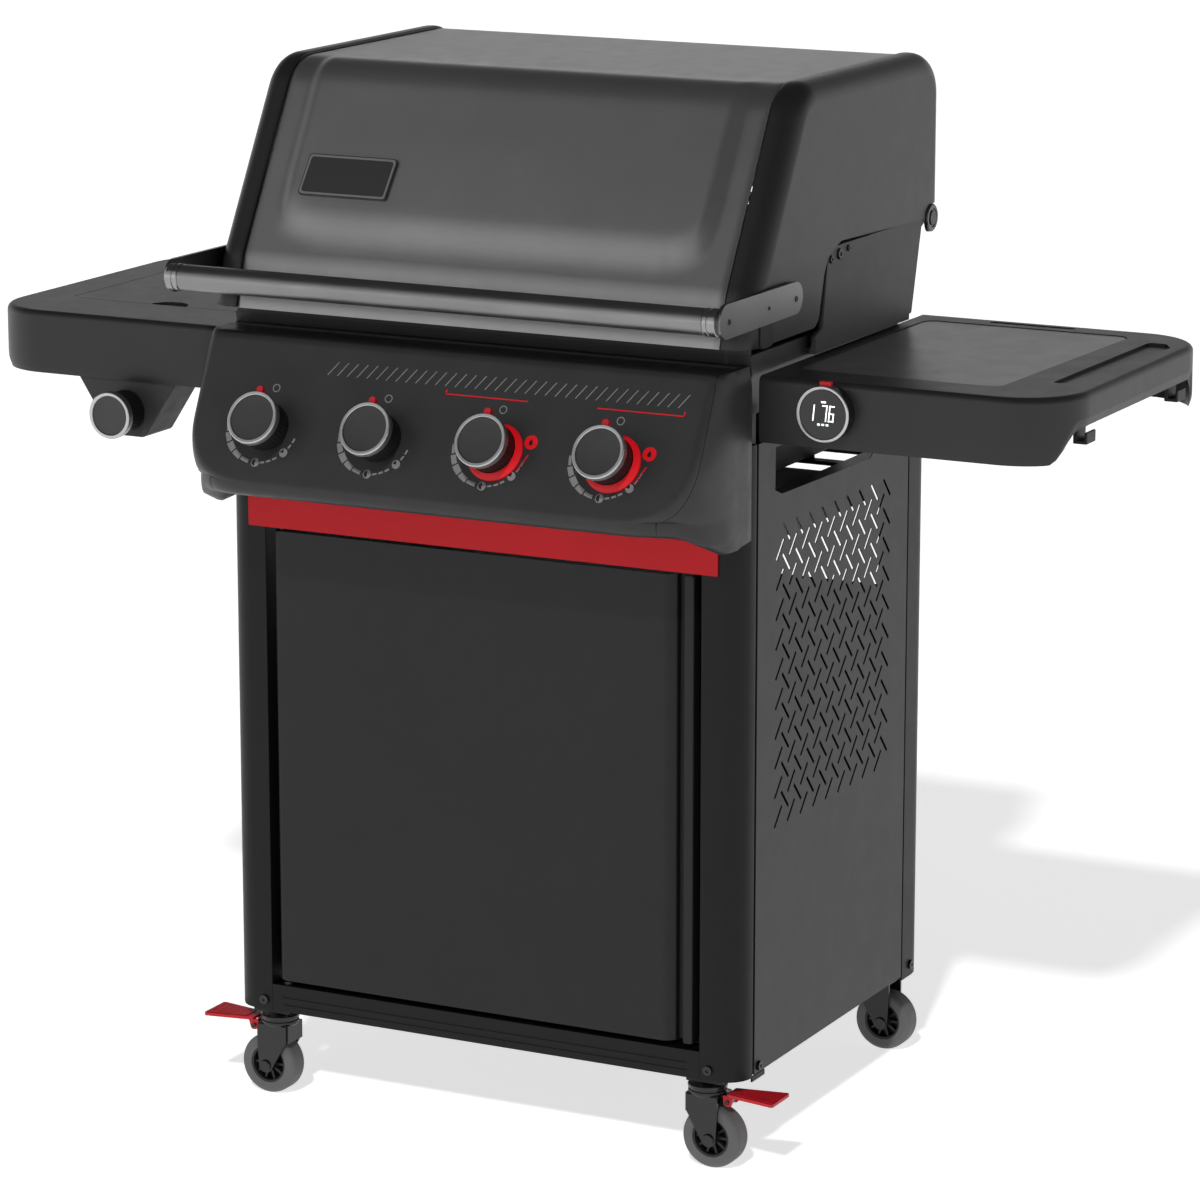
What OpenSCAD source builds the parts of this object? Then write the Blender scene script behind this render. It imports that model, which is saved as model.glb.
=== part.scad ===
// Gas barbecue grill on a four-wheeled cabinet cart: four burners, a side burner,
// a hinged lid, two side shelves, a pull-out grease tray and a digital temperature display.
// Frame while modelling: X across (right is +), Y from the front posts backwards, Z up from the floor.

/* [Cart] */
// Half of the cabinet width, to the outside of the side panels
cart_half = 303; // [290:1:303]
// Depth of the cabinet from the front posts to the rear posts
cart_depth = 475; // [470:1:480]
// Height of the lower edge of the cabinet
cart_bottom = 97; // [95:1:100]
// Thickness of the sheet metal
sheet = 2; // [1.5:0.5:2]
// Radius of the round vertical corners of the posts
post_corner_r = 27; // [20:1:28]
// Height of the top of the side and rear cabinet panels
panel_top = 764; // [755:1:765]

/* [Shelves] */
// Height of the work surfaces
shelf_top = 834; // [830:1:834]
// Half of the overall width, to the outer edges of the shelves
overall_half = 635; // [620:1:640]
// Height of the shelf skirts
shelf_h = 68; // [60:1:68]
// Radius of the outer shelf corners
shelf_corner_r = 72; // [50:1:75]

/* [Lid] */
// Half of the lid width
lid_half = 312; // [311:1:313]
// Half of the width of the sheet between the two lid caps
lid_sheet_half = 279; // [270:1:282]
// Radius of the rounding from the lid's front and top into its side faces
lid_edge_r = 22; // [18:1:24]
// Height of the top of the lid
lid_top = 1117; // [1105:1:1120]
// Height of the hinge axis
hinge_z = 940; // [938:1:942]
// Depth of the hinge axis
hinge_y = 443; // [441:1:444]

/* [Handle] */
// Diameter of the handle tube
handle_d = 27; // [24:1:28]
// Depth of the handle axis, in front of the posts
handle_y = -82.4; // [-86:0.1:-80]
// Height of the handle axis
handle_z = 906.2; // [904:0.1:908]

/* [Controls] */
// Distance between neighbouring burner knobs
knob_pitch = 132.5; // [125:0.5:135]
// Diameter of a burner knob
knob_d = 57; // [50:1:58]
// Angle of the control panel from the vertical
panel_tilt = 28; // [27:0.5:29]
// Radial running clearance on pins, axles and stems
running = 0.05; // [0.03:0.01:0.08]

/* [Casters] */
// Diameter of a caster wheel
wheel_d = 66; // [60:1:66]
// Width of a caster wheel
wheel_w = 26; // [22:1:27]
// Distance from the swivel axis to the wheel axle
trail = 9; // [6:1:12]

/* [Hidden] */
$fn = 48;

black = "#2b2b2c";
dark = "#3c3c3d";
steel = "#8f9092";
red = "#b4222e";

// Posts
post_in = 256;
front_post_depth = 30;
rear_post_in = 268;
rear_post_y = 415;
rear_corner_r = 35;
post_top = 765;

// Caster places: swivel axes and wheel axles
swivel_x = 257.5;
swivel_front_y = 18;
swivel_rear_y = 458;
raceway_top = 90;
raceway_r = 21;
stem_r = 5;
axle_r = 4;

// Height where the front posts stop under the control panel
post_shoulder = 667;

// Shelf plan
shelf_in = 303;
shelf_front = 33;
shelf_rear = 452;
shelf_wall = 2.5;
shelf_bottom = shelf_top - shelf_h;
// Lower edge of the skirt along the outer edge of a shelf
rim_bottom = shelf_top - 34;

// Side burner opening in the left shelf, and the insert in the right one
cover_in = 345;
cover_out = 575;
cover_front = 127;
cover_rear = 360;
cover_t = 5;
insert_in = 320;
insert_out = 541;
insert_front = 87;
insert_rear = 417;

// Control panel: a point on its face and the direction out of the face
face_y = -87.5;
face_z = 758;
panel_top_z = 846;
panel_bottom_z = 668;
knob_gap = 1;
knob_len = 34;

// Cookbox
tub_half = 300;
tub_floor = 702;
tub_rim = 856;
tub_wall = 4;
cheek_top = 943;
burner_z = 762;
grate_z = 838;

// Lid
lid_back = 470;
front_tilt = 30;
cap_t = 3;
cap_proud = 1;
emboss_h = 6.5;
handle_half = 301;
bracket_x = 314.5;
bracket_t = 4;
bracket_rear_y = 86.5;
bracket_front_y = -73;
bracket_r = 17.5;

// Temperature display on the right shelf
display_x = 380;
display_z = 804;
display_r = 28.5;
display_depth = 16;

// Side burner control
side_x = -449;
side_z = 733.5;
side_face_y = 38;

// Grease tray
tray_top = 664;
tray_bottom = 640;
tray_half = 245;

// The whole object is moved forwards by origin_y, so that the origin is under its middle:
// it reaches from the lower rims of the knobs to the raceways of the rear casters
front_reach = -face_y + (knob_gap + knob_len) * cos(panel_tilt) + knob_d / 2 * sin(panel_tilt);
origin_y = (swivel_rear_y + raceway_r - front_reach) / 2;

// ---- Helpers ------------------------------------------------------------------

function unit(v) = v / norm(v);
function left_of(v) = [-v[1], v[0]];

// Corner i of the anticlockwise outline p, moved inwards by t
function inset_corner(p, i, t) =
    let (n = len(p), b = p[i])
    let (u = left_of(unit(b - p[(i + n - 1) % n])), v = left_of(unit(p[(i + 1) % n] - b)))
    b + t / (1 + u * v) * (u + v);
function inset(p, t) = [for (i = [0:len(p) - 1]) inset_corner(p, i, t)];

// Points of the arc of radius r that rounds corner i of the outline p
function corner_arc(p, i, r, steps) =
    let (n = len(p), b = p[i], u = unit(b - p[(i + n - 1) % n]), v = unit(p[(i + 1) % n] - b))
    let (turn = atan2(u[0] * v[1] - u[1] * v[0], u * v), side = sign(turn))
    let (start = b - u * r * tan(abs(turn) / 2), centre = start + left_of(u) * r * side)
    let (a0 = atan2(start[1] - centre[1], start[0] - centre[0]))
    [for (s = [0:steps]) centre + r * [cos(a0 + turn * s / steps), sin(a0 + turn * s / steps)]];

// The outline p with each corner rounded by the matching radius; 0 keeps it sharp
function rounded(p, radii, steps = 6) =
    [for (i = [0:len(p) - 1]) each (radii[i] > 0 ? corner_arc(p, i, radii[i], steps) : [p[i]])];
function rect(x0, y0, x1, y1) = [[x0, y0], [x1, y0], [x1, y1], [x0, y1]];

// A box from its low and high corners
module box(low, high) { translate(low) cube(high - low); }

// An outline in (Y, Z) drawn along X from x0 to x1
module along_x(x0, x1) { translate([x0, 0, 0]) rotate([90, 0, 90]) linear_extrude(x1 - x0) children(); }

// An outline in (X, Z) drawn along Y from y0 to y1
module along_y(y0, y1) { translate([0, y1, 0]) rotate([90, 0, 0]) linear_extrude(y1 - y0) children(); }

module rod_x(x0, x1, r) { translate([x0, 0, 0]) rotate([0, 90, 0]) cylinder(r = r, h = x1 - x0); }
module rod_y(y0, y1, r) { translate([0, y0, 0]) rotate([-90, 0, 0]) cylinder(r = r, h = y1 - y0); }

// Puts a right-hand piece on the left
module on_left() { mirror([1, 0, 0]) children(); }

// Frame of the burner control at X = x: +Z points out of the control panel, +Y up along it
module at_control(x) { translate([x, face_y, face_z]) rotate([90 - panel_tilt, 0, 0]) children(); }

// ---- Cart ---------------------------------------------------------------------

module front_post_profile() {
    outer = rect(post_in, 0, cart_half, front_post_depth);
    difference() {
        polygon(rounded(outer, [0, post_corner_r, 0, 0]));
        polygon(rounded([[post_in + sheet, sheet], [cart_half - sheet, sheet],
            [cart_half - sheet, front_post_depth + 1], [post_in + sheet, front_post_depth + 1]],
            [0, post_corner_r - sheet, 0, 0]));
    }
}

module front_post() {
    color(black) {
        difference() {
            translate([0, 0, cart_bottom]) linear_extrude(post_top - cart_bottom) front_post_profile();
            // the inner flange stops above the caster socket
            box([post_in - 1, sheet, cart_bottom - 1], [post_in + sheet + 1, front_post_depth + 1, 127]);
            // and the front of the post stops under the control panel
            box([post_in - 1, -1, post_shoulder], [cart_half + 1, 18.5, post_top + 1]);
        }
        // foot plate that reaches back under the side panel
        box([cart_half - sheet, front_post_depth - 1, cart_bottom - 5], [cart_half, 60, cart_bottom + 1]);
    }
}

module rear_post_profile() {
    difference() {
        polygon(rounded(rect(rear_post_in, rear_post_y, cart_half, cart_depth), [0, 0, rear_corner_r - 2, 0]));
        polygon(rounded(rect(rear_post_in - 1, rear_post_y + sheet, cart_half - sheet, cart_depth - sheet),
            [0, 0, rear_corner_r - 2 - sheet, 0]));
    }
}

module rear_post() {
    color(black) translate([0, 0, cart_bottom - 3]) linear_extrude(post_top - cart_bottom + 3) rear_post_profile();
}

// Herringbone vent: columns of slots that lean one way, with the other way in between
slot_pitch_y = 31.6;
slot_pitch_z = 31.4;
slot_length = 26.5;
slot_width = 3.6;
slot_lean = 42;
slot_rows = 10;
slot_columns = 9;
vent_y = 103;
vent_z = 378.5;

module vent_slot(y, z, lean) {
    translate([y, z]) rotate(lean) square([slot_width, slot_length], center = true);
}

module vent_pattern() {
    for (row = [0:slot_rows - 1], column = [0:slot_columns - 1]) {
        vent_slot(vent_y + column * slot_pitch_y, vent_z + row * slot_pitch_z, slot_lean);
        vent_slot(vent_y + (column - 0.5) * slot_pitch_y, vent_z + (row - 0.5) * slot_pitch_z, -slot_lean);
    }
}

module side_panel() {
    front = 34;
    rear = 412;
    color(black) {
        along_x(cart_half - sheet, cart_half) difference() {
            polygon([[front, cart_bottom + 2], [rear, cart_bottom + 2], [rear, panel_top], [front, panel_top]]);
            // hand opening below the shelf
            polygon(rounded([[58, 716], [90, 703], [312, 700], [330, 715], [330, 754], [58, 754]],
                [8, 12, 14, 10, 8, 8], 3));
            vent_pattern();
        }
        // folded front and rear flanges
        box([cart_half - 16, front, cart_bottom + 2], [cart_half - sheet + 0.5, front + sheet, panel_top]);
        box([cart_half - 16, rear - sheet, cart_bottom + 2], [cart_half - sheet + 0.5, rear, panel_top]);
    }
}

module bottom_panel() {
    half = cart_half - sheet - 1;
    color(black) difference() {
        union() {
            box([-half, front_post_depth + 7, 125], [half, 409, 127]);
            box([-rear_post_in + 1, 408.5, 125], [rear_post_in - 1, cart_depth - 4, 127]);
            box([-half, front_post_depth + 7, 100], [half, front_post_depth + 9, 126]);
            box([-rear_post_in + 1, cart_depth - 6, 100], [rear_post_in - 1, cart_depth - 4, 126]);
        }
        // corners kept clear for the caster sockets and the posts
        for (s = [0, 1]) mirror([s, 0, 0]) {
            box([236, front_post_depth, 90], [330, 52, 130]);
            box([232, 435, 90], [344, cart_depth, 124]);
        }
    }
}

module bottom_rail() {
    color(black) difference() {
        union() {
            box([-post_in, 0, cart_bottom], [post_in, sheet, 127]);
            box([-post_in + 6, 1, 125], [post_in - 6, front_post_depth + 6, 127]);
        }
        // two long stiffening grooves
        for (z = [105, 113]) box([-post_in + 14, -1, z], [post_in - 14, 0.8, z + 2.5]);
    }
}

module rear_panel() {
    color(black) box([-rear_post_in, cart_depth - 3.5, 128], [rear_post_in, cart_depth - 1.5, 525]);
}

// Ring of rails between the posts that carries the cookbox and the shelves
module top_frame() {
    z0 = 672;
    z1 = 696;
    color(dark) {
        for (s = [-1, 1]) box([s * 286 - 12, front_post_depth + 7, z0], [s * 286 + 12, rear_post_y - 7, z1]);
        box([-post_in + 1, 21, z0], [post_in - 1, 37, z1]);
        box([-298, 36.5, z0], [298, 39, z1]);
        box([-rear_post_in + 1, 452, z0], [rear_post_in - 1, 470, z1]);
        for (s = [-1, 1]) box([s * 263 - 16, 404, z0], [s * 263 + 11.5, 408, z1]);
        for (s = [-1, 1]) box([s * 257 - 10, 406, z0], [s * 257 + 10, 453, z1]);
        // arms with pads that carry the inner walls of the shelves
        for (s = [-1, 1], y = [70, 392]) {
            box([s * 293.75 - 6.75, y - 10, z1 - 1], [s * 293.75 + 6.75, y + 10, shelf_bottom + 24]);
            box([s * 301.5 - 1.5, y - 8, shelf_bottom + 2], [s * 301.5 + 1.5, y + 8, shelf_bottom + 22]);
        }
        // risers under the cookbox floor
        for (s = [-1, 1], y = [70, 300]) {
            box([s * 232 - 8, y - 8, z1 - 4], [s * 232 + 8, y + 8, tub_floor]);
            box([s * 254 - 30, y - 8, z1 - 4], [s * 254 + 30, y + 8, z1]);
        }
    }
}

// Fixed strip behind the free edge of the door, with the door's magnet catch
module door_jamb() {
    color(black) {
        box([236, 22, 128], [254, 24, 634]);
        box([252, 20, 128], [post_in, 22.5, 634]);
    }
    color(steel) box([214, 22, 560], [237, 30, 600]);
}

module tray_rails() {
    color(steel) for (s = [-1, 1]) {
        box([s * 256 - 9, 40, tray_bottom - 3], [s * 256 + 9, 400, tray_bottom - 1]);
        box([s * 264 - 1, 40, tray_bottom - 2], [s * 264 + 1, 400, 671]);
        box([s * 276 - 13, 40, 670], [s * 276 + 13, 400, 672]);
    }
}

module caster_socket(x, y, side, reach) {
    translate([x, y, 0]) difference() {
        box([-18, -min(15, y - 3), raceway_top + 3], [side, reach, 124]);
        translate([0, 0, 80]) cylinder(r = stem_r + running, h = 60);
    }
}

module caster_sockets() {
    color(dark) {
        for (s = [0, 1]) mirror([s, 0, 0]) {
            caster_socket(swivel_x, swivel_front_y, 24, 18);
            caster_socket(swivel_x, swivel_rear_y, 18, 13);
        }
    }
}

// A button head with a hexagon socket, on the plane z = 0
module screw_head() {
    difference() {
        cylinder(r = 5.2, h = 2.6);
        translate([0, 0, 1]) cylinder(r = 1.8, h = 3, $fn = 6);
    }
}

module cart_screws() {
    color(dark) {
        for (s = [-1, 1]) {
            translate([s * 266, 0, 108]) rotate([90, 0, 0]) screw_head();
            translate([s * cart_half, 45, 106]) rotate([0, s * 90, 0]) screw_head();
            translate([s * cart_half, 437, 107]) rotate([0, s * 90, 0]) screw_head();
        }
    }
}

// ---- Control panel ------------------------------------------------------------

// Side outline of the control panel, in (Y, Z)
panel_slope = tan(panel_tilt);
panel_outline = [
    [18, panel_bottom_z], [18, panel_top_z],
    [face_y + (panel_top_z - face_z) * panel_slope, panel_top_z],
    [face_y + (690 - face_z) * panel_slope, 690],
    [-46, 675], [-18, panel_bottom_z]
];

module panel_solid(t) {
    half = cart_half - t;
    intersection() {
        along_x(-half, half) polygon(rounded(inset(panel_outline, t), [0, 0, 14 - t, 12 - t, 40, 0]));
        translate([0, 0, 600]) linear_extrude(300)
            polygon(rounded([[-half, 20], [-half, -58], [-286 + t, -150], [286 - t, -150], [half, -58], [half, 20]],
                [0, 40, 0, 0, 40, 0]));
        at_control(0) translate([0, 0, -240]) linear_extrude(300)
            polygon(rounded(rect(-half - 0.5, -78 + t, half + 0.5, 140), [52, 52, 0, 0]));
    }
}

module control_panel() {
    color(black) difference() {
        panel_solid(0);
        panel_solid(3);
        // open back
        box([-cart_half + 3, 14, panel_bottom_z + 3], [cart_half - 3, 30, panel_top_z - 3]);
        for (i = [-1.5:1:1.5]) at_control(i * knob_pitch) translate([0, 0, -20]) cylinder(r = 8, h = 40);
    }
}

// A knob whose axis is +Z, with its face at z = length
module knob_body(d, length, grip_r, bore_r) {
    difference() {
        union() {
            cylinder(r = grip_r, h = length - 8);
            translate([0, 0, length - 10]) cylinder(r = d / 2 - 3, h = 4);
            translate([0, 0, length - 7]) cylinder(r = d / 2, h = 7);
        }
        // shallow dished face inside the rim
        translate([0, 0, length - 1.5]) cylinder(r = d / 2 - 3, h = 3);
        translate([0, 0, -1]) cylinder(r = bore_r, h = length - 12);
    }
}

module burner_knob(i) {
    at_control((i - 2.5) * knob_pitch) translate([0, 0, knob_gap]) {
        color(dark) knob_body(knob_d, knob_len, knob_d / 2 - 4, stem_r + running);
        color(red) box([-4, knob_d / 2 - 3, knob_len - 7], [4, knob_d / 2 + 4, knob_len - 1]);
    }
}

// Gas rail with its four valves; each valve stem carries a knob
module burner_manifold() {
    color("#b08d57") {
        translate([0, -38, 728]) rod_x(-280, 262, 9);
        // inlet pipe beside the cookbox, with an elbow and the hose fitting behind it
        translate([-270, 0, 728]) rod_y(-36, 366, 6);
        box([-278, 362, 720], [-232, 378, 736]);
        translate([-240, 0, 728]) {
            rod_y(376, 392, 6);
            rod_y(391, 411, 7.9);
        }
        for (i = [-1.5:1:1.5]) at_control(i * knob_pitch) {
            translate([0, 0, -56]) cylinder(r = 12, h = 48);
            translate([0, 0, -9]) cylinder(r = stem_r, h = 9 + knob_gap + knob_len - 14);
        }
        for (i = [-1.5:1:1.5]) translate([i * knob_pitch, 0, 0]) {
            box([-9, -46, 726], [9, -28, burner_z + 6]);
            translate([0, 0, burner_z]) rod_y(-29, -8, 4);
        }
        for (s = [-1, 1]) box([s * 236 - 6, -38, 724], [s * 236 + 6, 39.2, 732]);
    }
}

// ---- Cookbox and what is in it --------------------------------------------------

// Side and front outlines of the tub, in (Y, Z) and (X, Z)
tub_side = [[44, tub_floor], [348, tub_floor], [396, tub_rim], [20, tub_rim]];
tub_front = [[-246, tub_floor], [246, tub_floor], [tub_half, 836], [tub_half, tub_rim + 1],
    [-tub_half, tub_rim + 1], [-tub_half, 836]];

module tub_solid(t) {
    intersection() {
        along_x(-310, 310) polygon(t == 0 ? tub_side : [tub_side[0] + [t, t], tub_side[1] + [-t, t],
            tub_side[2] + [-t + 3, 10], tub_side[3] + [t, 10]]);
        along_y(0, 420) polygon(t == 0 ? tub_front : [tub_front[0] + [t, t], tub_front[1] + [-t, t],
            tub_front[2] + [-t, 0], tub_front[3] + [-t, 20], tub_front[4] + [t, 20], tub_front[5] + [t, 0]]);
    }
}

cheek_outline = [[150, 838], [388, 838], [421, cheek_top], [180, cheek_top], [178, 930], [168, 862], [150, 856]];

module hinge_ear() {
    difference() {
        along_x(290, 300) union() {
            translate([hinge_y, hinge_z]) circle(r = 11);
            polygon(rect(412, hinge_z - 9, hinge_y, hinge_z + 3));
        }
        translate([0, hinge_y, hinge_z]) rod_x(280, 310, 4.2);
    }
}

module cookbox() {
    color("#262627") difference() {
        union() {
            difference() {
                tub_solid(0);
                tub_solid(tub_wall);
            }
            // ledges for the grates and for the heat tents
            for (s = [-1, 1]) box([s * 288 - 9, 60, grate_z - 6], [s * 288 + 9, 350, grate_z]);
            box([-270, 33, 780], [270, 46, 786]);
            box([-270, 356, 780], [270, 371, 786]);
            // rim, rear side cheeks, rear wall and hinge ears
            for (s = [0, 1]) mirror([s, 0, 0]) {
                box([tub_half - 4, 150, 838], [lid_half - 0.5, 389, 844]);
                along_x(lid_half - 6, lid_half - 0.5) polygon(cheek_outline);
                hinge_ear();
            }
            along_x(-lid_half + 1, lid_half - 1)
                polygon([[391, tub_rim - 12], [396, tub_rim - 12], [421, cheek_top - 5], [416, cheek_top - 5]]);
            // upstand of the front wall behind the lid's skirt
            along_x(-tub_half + 2, tub_half - 2)
                polygon([[20.9, tub_rim - 6], [24.9, tub_rim - 6], [24, 872], [20, 872]]);
        }
        // burner openings in the front wall, and the grease outlet in the floor
        for (i = [-1.5:1:1.5]) translate([i * knob_pitch, 0, burner_z]) rod_y(0, 60, 16);
        box([-60, 150, tub_floor - 5], [60, 250, tub_floor + 10]);
    }
}

module burner_tube(x) {
    translate([x, 0, burner_z]) difference() {
        union() {
            rod_y(6, 354, 11);
            rod_y(-14, 12, 14);
        }
        rod_y(-15, 348, 9);
        // flame ports along both sides
        for (y = [70:45:340]) translate([0, y, 0]) rod_x(-12, 12, 1.6);
    }
}

module burner_tubes() {
    color(steel) for (i = [-1.5:1:1.5]) burner_tube(i * knob_pitch);
}

// Folded roofs over the burners
module heat_tents() {
    tent = [[-34, 0], [0, 26], [34, 0], [34, 2.5], [0, 28.5], [-34, 2.5]];
    color(steel) for (x = [-1.5:0.75:1.5])
        translate([x * knob_pitch, 0, 786]) along_y(38, 366) polygon(tent);
}

module grate(x0, x1) {
    bars = 14;
    pitch = (x1 - x0 - 9) / (bars - 1);
    color("#1c1c1d") {
        for (i = [0:bars - 1]) box([x0 + i * pitch, 29, grate_z], [x0 + i * pitch + 9, 384, grate_z + 12]);
        for (y = [29, 140, 260, 375]) box([x0, y, grate_z], [x1, y + 9, grate_z + 8]);
    }
}

// Wire rack above the rear of the grates, and the four legs that it stands on
rack_z = 962;
rack_front = 250;
rack_rear = 380;

module warming_rack() {
    color(steel) {
        for (x = [-270:20:270]) translate([x, 0, rack_z]) rod_y(rack_front - 2, rack_rear + 2, 2);
        for (y = [rack_front, (rack_front + rack_rear) / 2, rack_rear])
            translate([0, y, rack_z - 3.5]) rod_x(-272, 272, 2.5);
    }
}

module warming_rack_legs() {
    color(steel) for (x = [-263, 263], y = [rack_front, rack_rear])
        translate([x, y, grate_z + 12]) cylinder(r = 3, h = rack_z - 6 - grate_z - 12);
}

// ---- Shelves --------------------------------------------------------------------

function shelf_plan(t) = rounded(
    [[shelf_in + t, shelf_front + t], [overall_half - t, shelf_front + t],
     [overall_half - t, shelf_rear - t], [shelf_in + t, shelf_rear - t]],
    [0, shelf_corner_r - t, shelf_corner_r - t, 0], 10);

module shelf_shell() {
    difference() {
        translate([0, 0, shelf_bottom]) linear_extrude(shelf_h) polygon(shelf_plan(0));
        translate([0, 0, shelf_bottom - 1]) linear_extrude(shelf_h - 2) polygon(shelf_plan(shelf_wall));
        // the skirt is lower along the outer edge, where the hooks hang
        box([560, 96, shelf_bottom - 1], [overall_half + 1, 395, rim_bottom]);
    }
}

// Left shelf, drawn on the right and mirrored
module left_shelf() {
    color(black) on_left() difference() {
        shelf_shell();
        box([cover_in - 1, cover_front - 1, shelf_top - 10], [cover_out + 1, cover_rear + 2, shelf_top + 1]);
    }
}

module right_shelf() {
    color(black) {
        difference() {
            shelf_shell();
            box([insert_in, insert_front, shelf_top - 10], [insert_out, insert_rear, shelf_top + 1]);
            // towel slot beside the outer edge and a long slot along the rear edge
            translate([0, 0, shelf_top - 10]) linear_extrude(20) {
                polygon(rounded([[578, 135], [590, 135], [612, 375], [600, 392], [582, 392]], [5, 5, 14, 5, 5], 3));
                polygon(rounded(rect(386, 430, 483, 438), [4, 4, 4, 4], 3));
            }
            // opening behind the temperature display
            translate([display_x, 0, display_z]) rod_y(shelf_front - 1, shelf_front + 5, 20);
        }
        // ledge that the insert lies on
        difference() {
            box([insert_in - 4, insert_front - 4, shelf_top - 7], [insert_out + 4, insert_rear + 4, shelf_top - 2.5]);
            box([insert_in, insert_front, shelf_top - 4], [insert_out, insert_rear, shelf_top]);
            box([insert_in + 8, insert_front + 8, shelf_top - 8], [insert_out - 8, insert_rear - 8, shelf_top]);
        }
    }
}

module right_shelf_insert() {
    color(dark) {
        box([insert_in + 0.5, insert_front + 0.5, shelf_top - 4], [insert_out - 0.5, insert_rear - 0.5, shelf_top - 1]);
        for (y = [insert_front + 20, insert_rear - 32])
            box([insert_in + 10, y, shelf_top - 12], [insert_out - 10, y + 12, shelf_top - 3.5]);
    }
}

// One utensil hook under the rim of a shelf, open outwards
module shelf_hook() {
    box([-7, -12, 0], [4.5, 12, 12]);
    box([-3, -12, -18], [1.5, 12, 1]);
    box([-3, -12, -20], [12, 12, -16]);
    box([9, -12, -20], [12, 12, -8]);
}

module shelf_hooks() {
    color(dark) for (s = [0, 1]) mirror([s, 0, 0]) for (y = [112, 366])
        translate([overall_half - 12 - shelf_wall, y, rim_bottom + 1]) shelf_hook();
}

// ---- Side burner ------------------------------------------------------------------

// Middle of the side burner
burner_x = -(cover_in + cover_out) / 2;
burner_y = (cover_front + cover_rear) / 2;

module side_burner_bowl() {
    floor_z = 778;
    wall = 2;
    low = [-cover_out - 4, cover_front - 4, floor_z];
    high = [-cover_in + 4, cover_rear + 6, shelf_top - 3];
    color(dark) {
        difference() {
            union() {
                difference() {
                    box(low, high);
                    box(low + [wall, wall, wall], high + [-wall, -wall, 1]);
                }
                translate([burner_x, burner_y, floor_z]) cylinder(r = 20, h = 6);
            }
            translate([burner_x, burner_y, floor_z - 1]) cylinder(r = 12.5, h = 9);
        }
        // pin that the cover turns on
        translate([0, cover_axis_y, cover_axis_z]) rod_x(-cover_out - 3, -cover_in + 3, 2);
    }
}

module side_burner_head() {
    color("#b08d57") translate([burner_x, burner_y, 0]) {
        translate([0, 0, 770]) cylinder(r = 12, h = 24);
        translate([0, 0, 786]) cylinder(r = 32, h = 12);
        translate([0, 0, 797]) cylinder(r = 27, h = 6);
        // mixing tube that runs forwards to the control housing
        translate([0, 0, 771.5]) rod_y(-160, 0, 6);
    }
}

module side_burner_grate() {
    z = 809;
    w = (cover_out - cover_in) / 2 - 4;
    d = (cover_rear - cover_front) / 2 - 4;
    color("#1c1c1d") translate([burner_x, burner_y, 0]) {
        difference() {
            box([-w, -d, z], [w, d, z + 8]);
            box([-w + 8, -d + 8, z - 1], [w - 8, d - 8, z + 9]);
        }
        difference() {
            union() {
                box([-w + 1, -4, z], [w - 1, 4, z + 12]);
                box([-4, -d + 1, z], [4, d - 1, z + 12]);
            }
            translate([0, 0, z - 1]) cylinder(r = 16, h = 20);
        }
        for (x = [-w + 4, w - 4], y = [-d + 4, d - 4]) translate([x, y, 780]) cylinder(r = 3, h = z - 779);
    }
}

cover_axis_y = cover_rear - 5;
cover_axis_z = shelf_top - cover_t;

module side_burner_cover() {
    color(black) difference() {
        union() {
            box([-cover_out, cover_front, cover_axis_z], [-cover_in, cover_axis_y - 1, shelf_top]);
            // hinge knuckles along the rear edge
            for (x = [-540, -400]) translate([x, cover_axis_y, cover_axis_z]) {
                rod_x(-20, 20, 4);
                box([-20, -4, 0], [20, 0, 4]);
            }
        }
        // finger notch in the front edge
        translate([-451, cover_front, shelf_top - 20]) cylinder(r = 22, h = 30);
        translate([0, cover_axis_y, cover_axis_z]) rod_x(-600, -300, 2 + running);
    }
}

// Trapezium of the control housing under the left shelf, its wall moved in by t
function side_housing(t) = [
    [side_x - 21 + t, 705 + t], [side_x + 21 - t, 705 + t],
    [side_x + 66 - 1.6 * t, shelf_bottom + 8], [side_x - 66 + 1.6 * t, shelf_bottom + 8]
];

module side_burner_housing() {
    color(black) {
        difference() {
            along_y(side_face_y, 92) polygon(rounded(side_housing(0), [8, 8, 0, 0], 4));
            along_y(side_face_y + 3, 93) polygon(side_housing(3) + [[0, 0], [0, 0], [0, 5], [0, 5]]);
            translate([side_x, 0, side_z]) rod_y(side_face_y - 1, side_face_y + 2, 8);
        }
        // tab on the inside of the shelf skirt
        box([side_x - 30, shelf_front + shelf_wall, shelf_bottom + 2], [side_x + 30, side_face_y + 1, shelf_bottom + 8]);
    }
    // valve with the stem that carries the knob
    color("#b08d57") translate([side_x, 0, side_z]) {
        rod_y(side_face_y + 2, 86, 11);
        rod_y(15, side_face_y + 3, stem_r);
    }
}

module side_burner_knob() {
    translate([side_x, side_face_y - 1, side_z]) rotate([90, 0, 0])
        color(dark) knob_body(51, 36, 20, stem_r + running);
}

// ---- Temperature display -----------------------------------------------------------

module display_housing() {
    color(black) translate([display_x, 0, display_z]) difference() {
        union() {
            rod_y(shelf_front - display_depth, shelf_front, display_r);
            rod_y(shelf_front - 1, shelf_front + 24, 19.5);
        }
        rod_y(shelf_front - display_depth - 1, shelf_front - display_depth + 2, display_r - 3);
        // seat of the push button
        box([-9.3, shelf_front - 11.3, 20], [9.3, shelf_front - 3.7, 40]);
    }
}

module display_button() {
    color(red) translate([display_x, 0, display_z])
        box([-9, shelf_front - 11, 24], [9, shelf_front - 4, display_r + 3.5]);
}

// ---- Lid -----------------------------------------------------------------------------

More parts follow.
